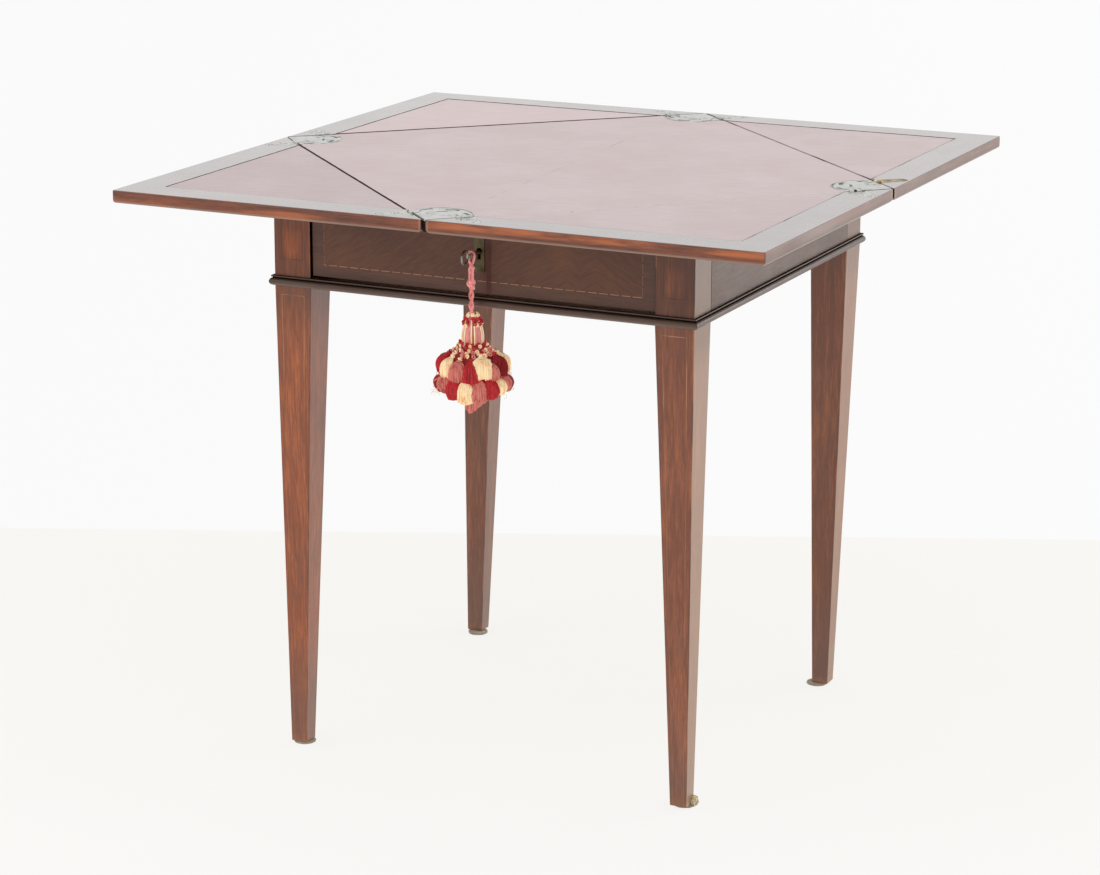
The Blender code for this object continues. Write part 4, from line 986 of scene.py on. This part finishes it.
class TABLE_OT_woodwork(bpy.types.Operator):
    """Polish the legs, aprons, moulding, drawer and top, and finish the bare wood inside"""

    bl_idname = "card_table.woodwork"
    bl_label = "Woodwork"

    def execute(self, context):
        woods = settings().woods
        for depth, side in LEG_LEANS:
            dress(leg_wood(depth, side), f"leg_{depth}_{side}")
        aprons = plain_wood("apron_veneer", woods.apron_dark, woods.apron_light, "y", 0.12, 0.34, 0.6)
        dress(aprons, "apron_left", "apron_right")
        dress(plain_wood("back_veneer", woods.apron_dark, woods.apron_light, "x", figure=0.7), "apron_back")
        rails = plain_wood("rail_wood", woods.drawer_dark, woods.drawer_light, "x")
        dress(rails, "front_top_rail", "front_bottom_rail")
        for side, along in (("front", "x"), ("back", "x"), ("left", "y"), ("right", "y")):
            dress(moulding_wood(side, along), f"moulding_{side}")
        dress(drawer_veneer(), "drawer_front")
        for way in LEAF_WAYS:
            dress(leaf_wood(f"leaf_wood_{way}"), f"leaf_{way}")
        dress(leaf_wood("centre_panel_wood"), "centre_panel")
        pine = (woods.pine_dark, woods.pine_light)
        strips = plain_wood("bare_pine", *pine, "y", coat=0.0, rough=0.6)
        dress(strips, "drawer_runner_left", "drawer_runner_right", "kicker_left", "kicker_right")
        dress(plain_wood("bare_pine_across", *pine, "x", coat=0.0, rough=0.6), "pivot_board")
        oak = (woods.oak_dark, woods.oak_light)
        sides = plain_wood("drawer_oak", *oak, "y", coat=0.0, rough=0.5)
        dress(sides, "drawer_side_left", "drawer_side_right")
        across = plain_wood("drawer_oak_across", *oak, "x", coat=0.0, rough=0.5)
        dress(across, "drawer_back", "drawer_bottom")
        return {"FINISHED"}


def crease_lines(finish):
    """The centre baize's marks: a fine dark crease, broken here and there, and a pale rubbed line."""
    x, y, z = finish.axes()

    def line(ends, width):
        a, b = ends
        along = Vector((b[0] - a[0], b[1] - a[1]))
        length = along.length
        along.normalize()
        off = abs((x - a[0]) * along.y - (y - a[1]) * along.x)
        down = (x - a[0]) * along.x + (y - a[1]) * along.y
        return off.eased(width, width * 0.4) * (down > 0.0) * (down < length)

    broken = finish.cloud(finish.place, 26.0, 3.0).eased(0.38, 0.6)
    return line(CREASE, 0.0011) * broken * 0.5, line(RUBBED_LINE, 0.0016) * 0.35


def speck_marks(finish):
    """Two dark specks on the front leaf's baize."""
    x, y, z = finish.axes()
    dark = None
    for place, size in SPECKS:
        away = ((x - place[0]) * (x - place[0]) + (y - place[1]) * (y - place[1])) ** 0.5
        speck = away.eased(size, size * 0.4)
        dark = speck if dark is None else dark.most(speck)
    return dark, None


def baize_sheet(name, body, finish):
    """Baize in place of the CAD piece: its top is cut into squares and set in low waves."""
    bm = bmesh.new()
    bm.from_mesh(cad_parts[name].data)
    bmesh.ops.remove_doubles(bm, verts=bm.verts, dist=0.00002)
    bmesh.ops.dissolve_limit(bm, angle_limit=0.02, verts=bm.verts, edges=bm.edges)
    low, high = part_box(name)
    for axis in (Vector((1, 0, 0)), Vector((0, 1, 0))):
        start, stop = low.dot(axis), high.dot(axis)
        count = int((stop - start) / BAIZE_SQUARE)
        for step in range(1, count):
            place = axis * (start + (stop - start) * step / count)
            geom = bm.verts[:] + bm.edges[:] + bm.faces[:]
            bmesh.ops.bisect_plane(bm, geom=geom, dist=0.00001, plane_co=place, plane_no=axis)
    rise = settings().cloths.nap_rise
    for vert in bm.verts:
        if vert.co.z > high.z - 0.0002:
            wave = noise.noise(vert.co * 14) + 0.5 * noise.noise(vert.co * 45)
            vert.co.z += rise * wave - rise * 0.6
    piece = new_piece(f"{name}_cloth", as_mesh(name, bm), finish, body, smooth=False)
    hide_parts(name)
    return piece


class TABLE_OT_baize(bpy.types.Operator):
    """Lay the baize, its red paled with age, on the centre panel and the four leaves"""

    bl_idname = "card_table.baize"
    bl_label = "Baize"

    def execute(self, context):
        cloths = settings().cloths
        colours = (cloths.baize, cloths.baize_worn)
        creased = cloth("centre_baize", *colours, BAIZE_WEAVE, seams=True, creases=crease_lines)
        centre = baize_sheet("centre_baize", "top", creased)
        # Each leaf's baize is painted lighter or darker than the others, as the light on it differs
        for way, painted_light in (("right", 1.0), ("back", 1.1), ("left", 0.9), ("front", 0.98)):
            name = f"leaf_baize_{way}"
            colour, worn = (tuple(painted_light * c for c in shown) for shown in colours)
            marks = speck_marks if way == "front" else None
            finish = cloth(f"baize_{way}", colour, worn, BAIZE_WEAVE, seams=True, creases=marks)
            piece = baize_sheet(name, f"leaf_{way}", finish)
        return {"FINISHED"}


class TABLE_OT_hinges(bpy.types.Operator):
    """Finish the engraved corner plates and their tongues, and the pivot's iron"""

    bl_idname = "card_table.hinges"
    bl_label = "Hinges"

    def execute(self, context):
        metals = settings().metals
        for side, corner in PLATE_CORNERS.items():
            marks = fan_marks(corner, -corner.normalized())
            finish = metal(f"fan_plate_{side}", metals.plate, metals.tarnish, 0.3, 0.12, marks)
            dress(finish, f"corner_plate_{side}")
        dull = metal("tongue_plate", metals.plate, metals.tarnish, 0.3, 0.15, tongue_marks)
        bright = metal("bright_tongue", metals.bright, shade(92, 72, 34), 0.25, 0.9, tongue_marks)
        # One tongue was rubbed down to its brass
        for way in LEAF_WAYS:
            for end in (1, 2):
                dress(bright if (way, end) == ("right", 1) else dull, f"leaf_plate_{way}_{end}")
        iron = metal("pivot_iron", metals.iron, shade(70, 52, 40), 0.5)
        dress(iron, "pivot_plate", "pivot_washer", "pivot_nut", "lock_bolt")
        return {"FINISHED"}


class TABLE_OT_lock(bpy.types.Operator):
    """Finish the lock plate, the lock's case and the key"""

    bl_idname = "card_table.lock"
    bl_label = "Lock and key"

    def execute(self, context):
        metals = settings().metals
        dress(metal("lock_plate", metals.lock, shade(72, 66, 44), 0.45), "escutcheon")
        dress(metal("lock_case_brass", metals.bright, metals.tarnish, 0.4), "lock_case")
        dress(metal("key_steel", metals.key, shade(96, 84, 70), 0.32), "key")
        return {"FINISHED"}


def cord_route():
    """The cord from the left of the tassel's head, up through the key's bow and down again."""
    over = 0.0042
    steps = 13
    half = []
    for step in range(steps):
        share = step / (steps - 1)
        turn = 3 * math.pi * share
        half.append((-0.0019 * math.cos(turn), -0.0019 * math.sin(turn), CORD_ENDS + 0.0385 * share))
    # Three half turns below the knots and one above them bring each run back to its own side
    half += [(0.0021, 0, -0.034), (0.0019, 0, -0.026), (0.0021, 0, -0.0185), (0, 0.0018, -0.0135)]
    half += [(-0.0024, 0, -0.0085), (-over, 0, -0.001), (-0.72 * over, 0, 0.72 * over)]
    route = half + [(0, 0, over)] + [(-x, -y, z) for x, y, z in half[::-1]]
    return [Vector((x, CORD_Y + y, KEY_Z + z)) for x, y, z in route]


def smooth_line(points, count):
    """Evenly spaced points on a smooth line through the given ones, and the line's length."""
    fine = []
    padded = [points[0] * 2 - points[1], *points, points[-1] * 2 - points[-2]]
    for a, b, c, d in zip(padded, padded[1:], padded[2:], padded[3:]):
        for step in range(12):
            t = step / 12
            square = (2 * a - 5 * b + 4 * c - d) * t * t
            cube = (3 * b - a - 3 * c + d) * t * t * t
            fine.append(0.5 * ((2 * b) + (c - a) * t + square + cube))
    fine.append(points[-1])
    lengths = [0.0]
    for a, b in zip(fine, fine[1:]):
        lengths.append(lengths[-1] + (b - a).length)
    spaced = []
    index = 0
    for step in range(count):
        want = lengths[-1] * step / (count - 1)
        while index < len(fine) - 2 and lengths[index + 1] < want:
            index += 1
        share = (want - lengths[index]) / max(lengths[index + 1] - lengths[index], 1e-9)
        spaced.append(fine[index].lerp(fine[index + 1], min(1.0, share)))
    return spaced, lengths[-1]


class TABLE_OT_cord(bpy.types.Operator):
    """Loop the tassel's cord through the key, with its knots"""

    bl_idname = "card_table.cord"
    bl_label = "Cord"

    def execute(self, context):
        finish = thread_finish("cord_thread", settings().cloths.cord, 0.22)
        line, length = smooth_line(cord_route(), 240)
        plies = []
        deep = Vector((0, 1, 0))
        for ply in range(3):
            points = []
            for index, point in enumerate(line):
                after = line[min(index + 1, len(line) - 1)] - line[max(index - 1, 0)]
                side = after.cross(deep).normalized()
                angle = 2 * math.pi * (ply / 3 + index / (len(line) - 1) * length / PLY_TURN)
                points.append(point + PLY_RADIUS * (side * math.cos(angle) + deep * math.sin(angle)))
            plies.append(points)
        mesh = strands("tassel_cord_twist", plies, PLY_RADIUS, 1, smooth=1)
        piece = new_piece("tassel_cord_twist", mesh, finish, "tassel")
        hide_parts("tassel_cord")
        # Each knot is a trefoil of two strands pulled tight, the small one drawn out along the cord
        for name, height, wide, tall, size, lean in (
            ("small_knot", 0.6625, 0.00085, 0.00185, 0.00135, 0.3),
            ("large_knot", 0.6442, 0.00145, 0.0019, 0.0016, -0.5),
        ):
            turned = Matrix.Rotation(lean, 3, "Y")
            middle = Vector((0, CORD_Y, height))
            pair = []
            for shift in (-0.55 * size, 0.55 * size):
                line_round = []
                for step in range(18):
                    a = math.tau * step / 18
                    spread = 1 + shift / 0.006
                    x = wide * spread * (math.sin(a) + 2 * math.sin(2 * a))
                    z = tall * spread * (math.cos(a) - 2 * math.cos(2 * a))
                    y = 1.15 * size * math.sin(3 * a) + shift * 0.8
                    line_round.append(turned @ Vector((x, y, z)) + middle)
                pair.append(line_round)
            knot_mesh = strands(name, pair, size, 2, closed=True, smooth=3)
            new_piece(f"tassel_{name}", knot_mesh, finish, "tassel")
        return {"FINISHED"}


def on_tassel(angle, radius, height):
    """A point of the tassel, by its angle to the right of the side that faces the camera."""
    turn = math.radians(angle + FACING)
    lean = 0.0017 + 0.012 * max(0.0, LEANS_BELOW - height)
    return Vector((lean + radius * math.cos(turn), CORD_Y + radius * math.sin(turn), height))


def loop_row(rng, count, radius, height, size, start=0.0):
    """A row of small loops of thread round the tassel, as a list of closed lines."""
    rows = []
    for index in range(count):
        angle = start + 360 * index / count + rng.uniform(-5, 5)
        out = radius + rng.uniform(-0.0006, 0.0006)
        middle = on_tassel(angle, out, height + rng.uniform(-0.0009, 0.0009))
        tilt = Matrix.Rotation(rng.uniform(-0.9, 0.9), 3, "Y")
        lean = Matrix.Rotation(math.radians(angle), 3, "Z") @ tilt
        points = []
        for step in range(6):
            a = math.tau * step / 6
            point = Vector((math.cos(a), 0.5 * math.sin(2 * a), 1.1 * math.sin(a)))
            points.append(middle + lean @ (size * point))
        rows.append(points)
    return rows


def tuft(rng, angle, width, top, bottom, root, belly, tuck, count=92):
    """One tuft: the line of its core, and its threads from a knot over the belly to a trimmed edge.

    root and belly are how far out it starts and bulges, and tuck is how far its foot turns in.
    """
    fall = top - bottom
    half = width / 2
    middle = belly - 0.42 * width
    core = [
        on_tassel(angle, root, top),
        on_tassel(angle, root + 0.7 * (middle - root), top - 0.1 * fall),
        on_tassel(angle, middle, top - 0.5 * fall),
        on_tassel(angle, middle - tuck, bottom + 0.0015),
    ]
    threads = []
    for _ in range(count):
        way = rng.uniform(-1.55, 1.55)
        side = math.sin(way)
        outer = middle + 0.42 * width * math.cos(way) * rng.uniform(0.84, 1.08)
        spread = half * rng.uniform(0.88, 1.1)
        sway = rng.uniform(-0.08, 0.08)
        # The trimmed edge curves up towards both sides
        trim = bottom + 0.12 * fall * side ** 4 + rng.uniform(-0.0012, 0.002)
        points = []
        for radius, share, slip, height in (
            (root + 0.08 * width * math.cos(way), 0.1, 0.0, top),
            (root + 0.7 * (outer - root), 0.46, 0.0, top - 0.08 * fall),
            (outer - 0.0006, 0.8, 0.4 * sway, top - 0.32 * fall),
            (outer + 0.0008, 1.02, sway, top - 0.68 * fall),
            (outer - tuck, 1.06, 1.6 * sway, trim),
        ):
            aside = math.degrees((side * share + slip) * spread / radius)
            points.append(on_tassel(angle + aside, radius, height))
        threads.append(points)
    return core, threads


# The tassel's head, by its radii and heights
HEAD = (
    (0.0035, 0.6045),
    (0.0082, 0.6015),
    (0.011, 0.5945),
    (0.0131, 0.587),
    (0.0138, 0.58),
    (0.0135, 0.574),
    (0.0125, 0.568),
    (0.0075, 0.563),
    (0.002, 0.5615),
)
# The padding under its tufts
PADDING = (
    (0.002, 0.565),
    (0.014, 0.5645),
    (0.025, 0.56),
    (0.031, 0.55),
    (0.0315, 0.538),
    (0.0325, 0.524),
    (0.0315, 0.512),
    (0.02, 0.5085),
    (0.002, 0.5085),
)
# Each row of loops: its thread, how many, how far out, how high, their size and the first one's angle
RUFFS = (
    ("cream", 8, 0.0066, 0.6066, 0.0019, 0),
    ("cream", 5, 0.0112, 0.5962, 0.0017, 28),
    ("red", 10, 0.0096, 0.6022, 0.0019, 0),
    ("red", 9, 0.0114, 0.5975, 0.0018, 12),
    ("red", 14, 0.0158, 0.5722, 0.0019, 0),
    ("red", 10, 0.0186, 0.5676, 0.0019, 9),
    ("dark", 7, 0.0106, 0.6, 0.0017, 20),
    ("dark", 9, 0.0172, 0.5695, 0.0018, 14),
    ("cream", 8, 0.0176, 0.5704, 0.0015, 31),
    ("cream", 11, 0.0198, 0.5656, 0.0018, 17),
    ("pink", 9, 0.0192, 0.565, 0.002, 36),
    ("pink", 12, 0.0222, 0.5632, 0.0021, 0),
    ("cream", 10, 0.0236, 0.5622, 0.0021, 14),
    ("red", 7, 0.0228, 0.5628, 0.0021, 25),
    ("pink", 11, 0.0262, 0.5608, 0.0021, 5),
    ("cream", 8, 0.027, 0.5603, 0.0021, 30),
    ("salmon", 9, 0.0256, 0.5608, 0.0021, 18),
)
# Each tuft: its angle, its thread, its width, and the heights of its knot and its edge, in millimetres
UPPER_TUFTS = (
    (20, "cream", 31, 561, 535.6),
    (-4, "red", 25, 555, 530),
    (-32, "salmon", 24, 556, 532),
    (-57, "cream", 22, 558, 535),
    (-82, "red", 24, 559.5, 538),
    (41, "salmon", 16, 553, 533.5),
    (64, "dark", 27, 560, 535),
    (92, "cream", 24, 559, 537),
    (118, "red", 24, 558, 534),
    (144, "salmon", 24, 558, 534),
    (170, "cream", 24, 558, 534),
    (196, "dark", 24, 558, 534),
    (222, "salmon", 24, 558, 534),
    (250, "dark", 25, 558, 535),
)
LOWER_TUFTS = (
    (-60, "salmon", 22, 537, 516),
    (-37, "red", 20, 535, 509.5),
    (-13, "cream", 23, 534, 505.8),
    (10, "salmon", 24, 534, 508.5),
    (34, "red", 22, 534, 511),
    (54, "cream", 17, 534, 514.5),
    (71, "salmon", 20, 536, 516.5),
    (92, "dark", 21, 534, 513),
    (113, "cream", 21, 534, 513),
    (135, "red", 21, 534, 513),
    (157, "salmon", 21, 534, 513),
    (179, "cream", 21, 534, 513),
    (201, "red", 21, 534, 513),
    (223, "salmon", 21, 534, 513),
    (245, "dark", 21, 534, 513),
    (267, "red", 20, 534, 514),
    (284, "dark", 18, 534, 515),
)
# Each tier: its tufts, how far out they start and bulge, and how far their feet turn in
TIERS = ((UPPER_TUFTS, 0.0285, 0.0448, 0.0012), (LOWER_TUFTS, 0.03, 0.0486, 0.0045))
# Where stray threads leave the tassel: how far out it is at each height
STRAY_RADII = {0.52: 0.0485, 0.512: 0.0465, 0.535: 0.0445, 0.5605: 0.031}
# How far aside, out, up and down each next point of a stray thread may be
STRAY_STEPS = ((12, 0.001, 0.004, 0.002, 0.006), (20, -0.002, 0.006, 0.004, 0.012))


def wound_head(colour, channel_colour):
    """The head: an egg wound with thread between six narrow channels."""
    bm = turned_shape(HEAD, Vector((0, CORD_Y, 0)), 60)
    for vert in bm.verts:
        out = Vector((vert.co.x, vert.co.y - CORD_Y))
        turn = math.atan2(out.y, out.x) - math.radians(CHANNEL_WAY)
        out *= 1.0 - 0.05 * (0.5 + 0.5 * math.cos(6 * turn)) ** 4
        vert.co.x, vert.co.y = out.x + HEAD_MIDDLE, out.y + CORD_Y
    bmesh.ops.recalc_face_normals(bm, faces=bm.faces[:])
    finish = thread_finish("wound_head", colour)
    x, y, z = finish.axes()
    turn = finish.turned(y - CORD_Y, x - HEAD_MIDDLE) + math.radians(30 - CHANNEL_WAY)
    channel = abs(turn % math.radians(60) - math.radians(30)).eased(0.16, 0.12)
    wound = Field(finish, finish.surface.inputs["Base Color"].links[0].from_socket)
    finish.feed("Base Color", finish.mix(wound, channel_colour, channel))
    mesh = as_mesh("tassel_wound_head", bm)
    return new_piece("tassel_wound_head", mesh, finish, "tassel")


def head_ribs():
    """The lines of two ribs beside each of the head's channels."""
    ribs = []
    for index in range(6):
        for offset in (-8.4, 8.4):
            rib = []
            for radius, height in HEAD[1:-1]:
                # The widest radius over this one keeps the ribs apart where the head is thin
                angle = 2 + 60 * index + offset * (0.0138 / radius) ** 0.5
                rib.append(on_tassel(angle, radius * 0.985, height))
            ribs.append(rib)
    return ribs


def ruff_loops(rng):
    """Rows of small loops above and below the head, and the knots of the upper tufts."""
    loops = {"cream": [], "red": [], "pink": [], "dark": [], "salmon": []}
    for colour, count, radius, height, size, start in RUFFS:
        loops[colour] += loop_row(rng, count, radius, height, size, start)
    for angle, colour, _, knot_height, _ in UPPER_TUFTS:
        knot = "cream" if colour in ("cream", "salmon") else "red"
        for height in (0.0, 0.0022):
            middle = on_tassel(angle, 0.029, 0.001 * knot_height + height)
            points = []
            for step in range(6):
                a = math.tau * step / 6
                out = Vector((0.0021 * math.cos(a), 0.0021 * math.sin(a), 0.0005 * math.sin(3 * a)))
                points.append(middle + out)
            loops[knot].append(points)
    return loops


def fringe_lines(rng):
    """The threads of the fringe, from inside the tufts to its slanted edge."""
    turn = math.radians(CAMERA_TURN)
    right = Vector((math.cos(turn), math.sin(turn), 0))
    deep = Vector((-right.y, right.x, 0))
    up = Vector((0, 0, 1))
    lines = []
    for _ in range(130):
        reach = rng.uniform(-0.01, 0.03)
        depth = rng.uniform(-0.014, 0.014)
        # Its edge is lowest near the middle and slants up to both sides
        foot = 0.484 + max(0.0, reach + 0.003) * 0.82 + max(0.0, -0.005 - reach) * 1.1
        foot += rng.uniform(0, 0.0015)
        middle = Vector((0.0033, CORD_Y, 0)) + deep * depth
        slip = rng.uniform(-0.002, 0.002)
        lines.append([
            middle + right * (reach * 0.9 + 0.004) + up * 0.516,
            middle + right * (reach + slip) + up * 0.503,
            middle - deep * depth * 0.5 + right * (reach - 0.001) + up * foot,
        ])
    return lines


def stray_lines(rng):
    """Threads that have worked loose at the tassel's sides, two of cream to each of salmon."""
    strays = {"cream": [], "salmon": []}
    for number in range(34):
        angle = rng.choice((-1, 1)) * rng.uniform(62, 112)
        height = rng.choice(tuple(STRAY_RADII))
        radius = STRAY_RADII[height]
        points = [on_tassel(angle, radius - 0.003, height)]
        for aside, nearest, farthest, rise, drop in STRAY_STEPS:
            way = angle + rng.uniform(-aside, aside)
            out = radius + rng.uniform(nearest, farthest)
            points.append(on_tassel(way, out, height - rng.uniform(-rise, drop)))
        strays["cream" if number % 3 else "salmon"].append(points)
    return strays


def tuft_padding(finish):
    """A soft core under the tufts."""
    bm = turned_shape(PADDING, Vector((PADDING_MIDDLE, CORD_Y, 0)), 48)
    for vert in bm.verts:
        vert.co += vert.co.normalized() * 0.0008 * noise.noise(vert.co * 160)
    bmesh.ops.recalc_face_normals(bm, faces=bm.faces[:])
    return new_piece("tassel_padding", as_mesh("tassel_padding", bm), finish, "tassel")


class TABLE_OT_tassel(bpy.types.Operator):
    """Bind the tassel: its ribbed head, its ruffs of loops, its two tiers of tufts and its fringe"""

    bl_idname = "card_table.tassel"
    bl_label = "Tassel"

    def execute(self, context):
        cloths = settings().cloths
        rng = random.Random(11)
        dark = tuple(0.55 * c for c in cloths.red)
        finishes = {
            "red": thread_finish("red_thread", cloths.red),
            "dark": thread_finish("dark_red_thread", dark),
            "cream": thread_finish("cream_thread", cloths.cream, 0.2, shadow=(0.86, 0.55, 0.32)),
            "salmon": thread_finish("salmon_thread", cloths.salmon, 0.15),
            "pink": thread_finish("pink_thread", cloths.pink),
        }

        head = wound_head(cloths.pink, dark)
        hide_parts("tassel_head")
        loops = ruff_loops(rng)

        # Each tuft is a core under loose threads
        tufts = {colour: [] for colour in finishes}
        for tier, root, belly, tuck in TIERS:
            for angle, colour, width, top, bottom in tier:
                wide = 0.001 * width
                core, threads = tuft(rng, angle, wide, 0.001 * top, 0.001 * bottom, root, belly, tuck)
                swell = tuple(share * 0.4 * width for share in (0.18, 0.5, 0.86, 0.96))
                tufts[colour].append(strands(f"tuft_{colour}", [core], 0.001, 3, swell=swell))
                tufts[colour].append(strands(f"tuft_{colour}", threads, 0.0005))
        tufts["salmon"].append(strands("fringe", fringe_lines(rng), 0.0008))
        for colour, lines in stray_lines(rng).items():
            tufts[colour].append(strands("strays", lines, 0.00022))
        tufts["cream"].append(strands("ribs", head_ribs(), 0.00105, 1))
        for colour, lines in loops.items():
            tufts[colour].append(strands("loops", lines, 0.00115, 1, closed=True))
        for colour, meshes in tufts.items():
            name = f"tassel_{colour}_threads"
            new_piece(name, joined(name, meshes), finishes[colour], "tassel")
        padding = tuft_padding(finishes["dark"])
        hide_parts("tassel_skirt_upper", "tassel_skirt_lower")
        return {"FINISHED"}


def pad_backing():
    """The crumpled backing sheet of a felt pad: glossy on its ridges, and pale there with a painted
    highlight.
    """
    finish = Finish("pad_backing", Coat_Roughness=0.2, IOR=1.5)
    crinkle = finish.cloud(finish.place, 260.0, 3.0, 0.6, 1.2)
    tone = finish.mix(shade(168, 152, 96), shade(250, 240, 204), crinkle.eased(0.34, 0.58))
    finish.feed("Base Color", tone)
    finish.feed("Roughness", 0.2 + crinkle * 0.3)
    finish.feed("Coat Weight", crinkle.eased(0.4, 0.6) * 0.6)
    finish.bump(crinkle, 0.8, 0.002)
    return finish


class TABLE_OT_feet(bpy.types.Operator):
    """Put a felt pad under each foot, one of them with its crumpled backing folded up beside the leg"""

    bl_idname = "card_table.feet"
    bl_label = "Feet"

    def execute(self, context):
        felt = cloth("pad_felt", settings().cloths.felt, shade(120, 108, 84), FELT_WEAVE, sheen=0.5)
        for depth, side in LEG_LEANS:
            name = f"foot_pad_{depth}_{side}"
            low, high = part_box(name)
            middle = (low + high) / 2
            radius = (high.x - low.x) / 2
            bm = bmesh.new()
            bmesh.ops.create_cone(
                bm,
                cap_ends=True,
                segments=44,
                radius1=radius * 0.985,
                radius2=radius * 0.95,
                depth=high.z - low.z,
                matrix=Matrix.Translation(middle),
            )
            rims = [edge for edge in bm.edges if len({round(vert.co.z, 5) for vert in edge.verts}) == 1]
            bmesh.ops.bevel(
                bm, geom=rims, offset=0.0008, affect="EDGES", segments=2, profile=0.5, material=-1
            )
            # Its edge is ragged
            for vert in bm.verts:
                out = Vector((vert.co.x - middle.x, vert.co.y - middle.y, 0))
                ragged = 1 + 0.05 * noise.noise(vert.co * 190) + 0.03 * noise.noise(vert.co * 700)
                vert.co += out * (min(ragged, 1.03) - 1)
            mesh = as_mesh(name, bm)
            piece = new_piece(f"felt_{depth}_{side}", mesh, felt, "stand", smooth=False)
            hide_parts(name)
        low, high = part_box("foot_pad_front_right")
        middle = Vector(((low.x + high.x) / 2 + 0.0126, (low.y + high.y) / 2 + 0.0003, FOLD_MIDDLE))
        bm = bmesh.new()
        bmesh.ops.create_icosphere(bm, subdivisions=5, radius=1.0)
        for vert in bm.verts:
            ridge = abs(noise.noise(vert.co * 2.6)) * 0.55 + abs(noise.noise(vert.co * 6.0)) * 0.2
            place = vert.co * (1.08 - ridge)
            drop = max(place.z * 0.0072, 0.0002 - FOLD_MIDDLE)
            vert.co = middle + Vector((place.x * 0.0052, place.y * 0.0064, drop))
        mesh = as_mesh("felt_backing_fold", bm)
        new_piece("felt_backing_fold", mesh, pad_backing(), "stand")
        return {"FINISHED"}


def screw_head(bm, place, turn, radius):
    """A countersunk head with its slot, just above the plate that it holds."""
    start = len(bm.verts)
    bmesh.ops.create_cone(
        bm,
        cap_ends=True,
        segments=18,
        radius1=radius * 0.55,
        radius2=radius,
        depth=0.0014,
        matrix=Matrix.Translation((0, 0, -0.0006)),
    )
    bm.verts.ensure_lookup_table()
    # Two cuts mark the slot's sides, and the strip between them is sunk
    for side in (-1, 1):
        verts = bm.verts[start:]
        faces = list({face for vert in verts for face in vert.link_faces})
        edges = list({edge for vert in verts for edge in vert.link_edges})
        cut = (side * radius * 0.13, 0, 0)
        bmesh.ops.bisect_plane(
            bm, geom=verts + edges + faces, dist=0.000001, plane_co=cut, plane_no=(1, 0, 0)
        )
        bm.verts.ensure_lookup_table()
    faces = {face for vert in bm.verts[start:] for face in vert.link_faces}
    upper = [face for face in faces if face.normal.z > 0.9]
    strip = [face for face in upper if abs(face.calc_center_median().x) < radius * 0.1]
    slot = bmesh.ops.extrude_face_region(bm, geom=strip)
    bmesh.ops.delete(bm, geom=strip, context="FACES_ONLY")
    floor = [item for item in slot["geom"] if isinstance(item, bmesh.types.BMVert)]
    bmesh.ops.translate(bm, verts=floor, vec=(0, 0, -0.0006))
    bm.verts.ensure_lookup_table()
    bmesh.ops.transform(bm, matrix=place @ Matrix.Rotation(turn, 4, "Z"), verts=bm.verts[start:])


def screw_piece(name, bm, finish, body):
    """The heads in a bmesh as one piece."""
    bmesh.ops.recalc_face_normals(bm, faces=bm.faces[:])
    return new_piece(name, as_mesh(name, bm), finish, body, smooth=False)


class TABLE_OT_screws(bpy.types.Operator):
    """Drive the slotted screws of the hinges and of the lock plate"""

    bl_idname = "card_table.screws"
    bl_label = "Screws"

    def execute(self, context):
        metals = settings().metals
        finish = metal("screw_brass", tuple(0.8 * c for c in metals.plate), metals.tarnish, 0.34)
        rng = random.Random(5)
        groups = {"top": [], **{f"leaf_{way}": [] for way in LEAF_WAYS}}
        for corner in PLATE_CORNERS.values():
            inward = -corner.normalized()
            across = Vector((-inward.y, inward.x, 0))
            for ahead, aside in PLATE_SCREWS:
                groups["top"].append(corner + inward * ahead + across * aside)
        for way, out in LEAF_WAYS.items():
            across = Vector((out.y, -out.x, 0))
            for side in (-1, 1):
                for ahead in LEAF_SCREWS:
                    place = out * (SEAM + ahead) + across * side * (SEAM - LEAF_SCREWS_IN)
                    groups[f"leaf_{way}"].append(place)
        for body, places in groups.items():
            bm = bmesh.new()
            for place in places:
                seat = Matrix.Translation((place.x, place.y, TOP_HIGH))
                screw_head(bm, seat, rng.uniform(0, math.pi), SCREW_RADIUS)
            screw_piece(f"screws_{body}", bm, finish, body)
        bm = bmesh.new()
        facing = Matrix.Rotation(math.pi / 2, 4, "X")
        for height in PIN_HEIGHTS:
            seat = Matrix.Translation((0, PIN_FACE, KEY_Z + height)) @ facing
            screw_head(bm, seat, rng.uniform(0, math.pi), PIN_RADIUS)
        pins = metal("lock_pins", shade(120, 128, 84), shade(60, 74, 48), 0.5)
        screw_piece("lock_plate_pins", bm, pins, "drawer")
        return {"FINISHED"}


class TABLE_PT_panel(bpy.types.Panel):
    """The table's steps and settings in the sidebar"""

    bl_idname = "TABLE_PT_panel"
    bl_label = "Card Table"
    bl_space_type = "VIEW_3D"
    bl_region_type = "UI"
    bl_category = "Card Table"

    def draw(self, context):
        for step in STEPS:
            self.layout.operator(step.bl_idname)
        for group in (settings().stage, settings().woods, settings().cloths, settings().metals):
            box = self.layout.box()
            for name in group.__annotations__:
                box.prop(group, name)


STEPS = (
    TABLE_OT_stage,
    TABLE_OT_cord,
    TABLE_OT_tassel,
    TABLE_OT_woodwork,
    TABLE_OT_baize,
    TABLE_OT_hinges,
    TABLE_OT_lock,
    TABLE_OT_screws,
    TABLE_OT_feet,
)
CLASSES = (StageSettings, WoodSettings, ClothSettings, MetalSettings, TableSettings, *STEPS, TABLE_PT_panel)


def register():
    for cls in CLASSES:
        bpy.utils.register_class(cls)
    bpy.types.Scene.card_table = bpy.props.PointerProperty(type=TableSettings)


def unregister():
    del bpy.types.Scene.card_table
    for cls in reversed(CLASSES):
        bpy.utils.unregister_class(cls)


def main():
    register()
    for step in STEPS:
        group, action = step.bl_idname.split(".")
        getattr(getattr(bpy.ops, group), action)()


if __name__ == "__main__":
    main()
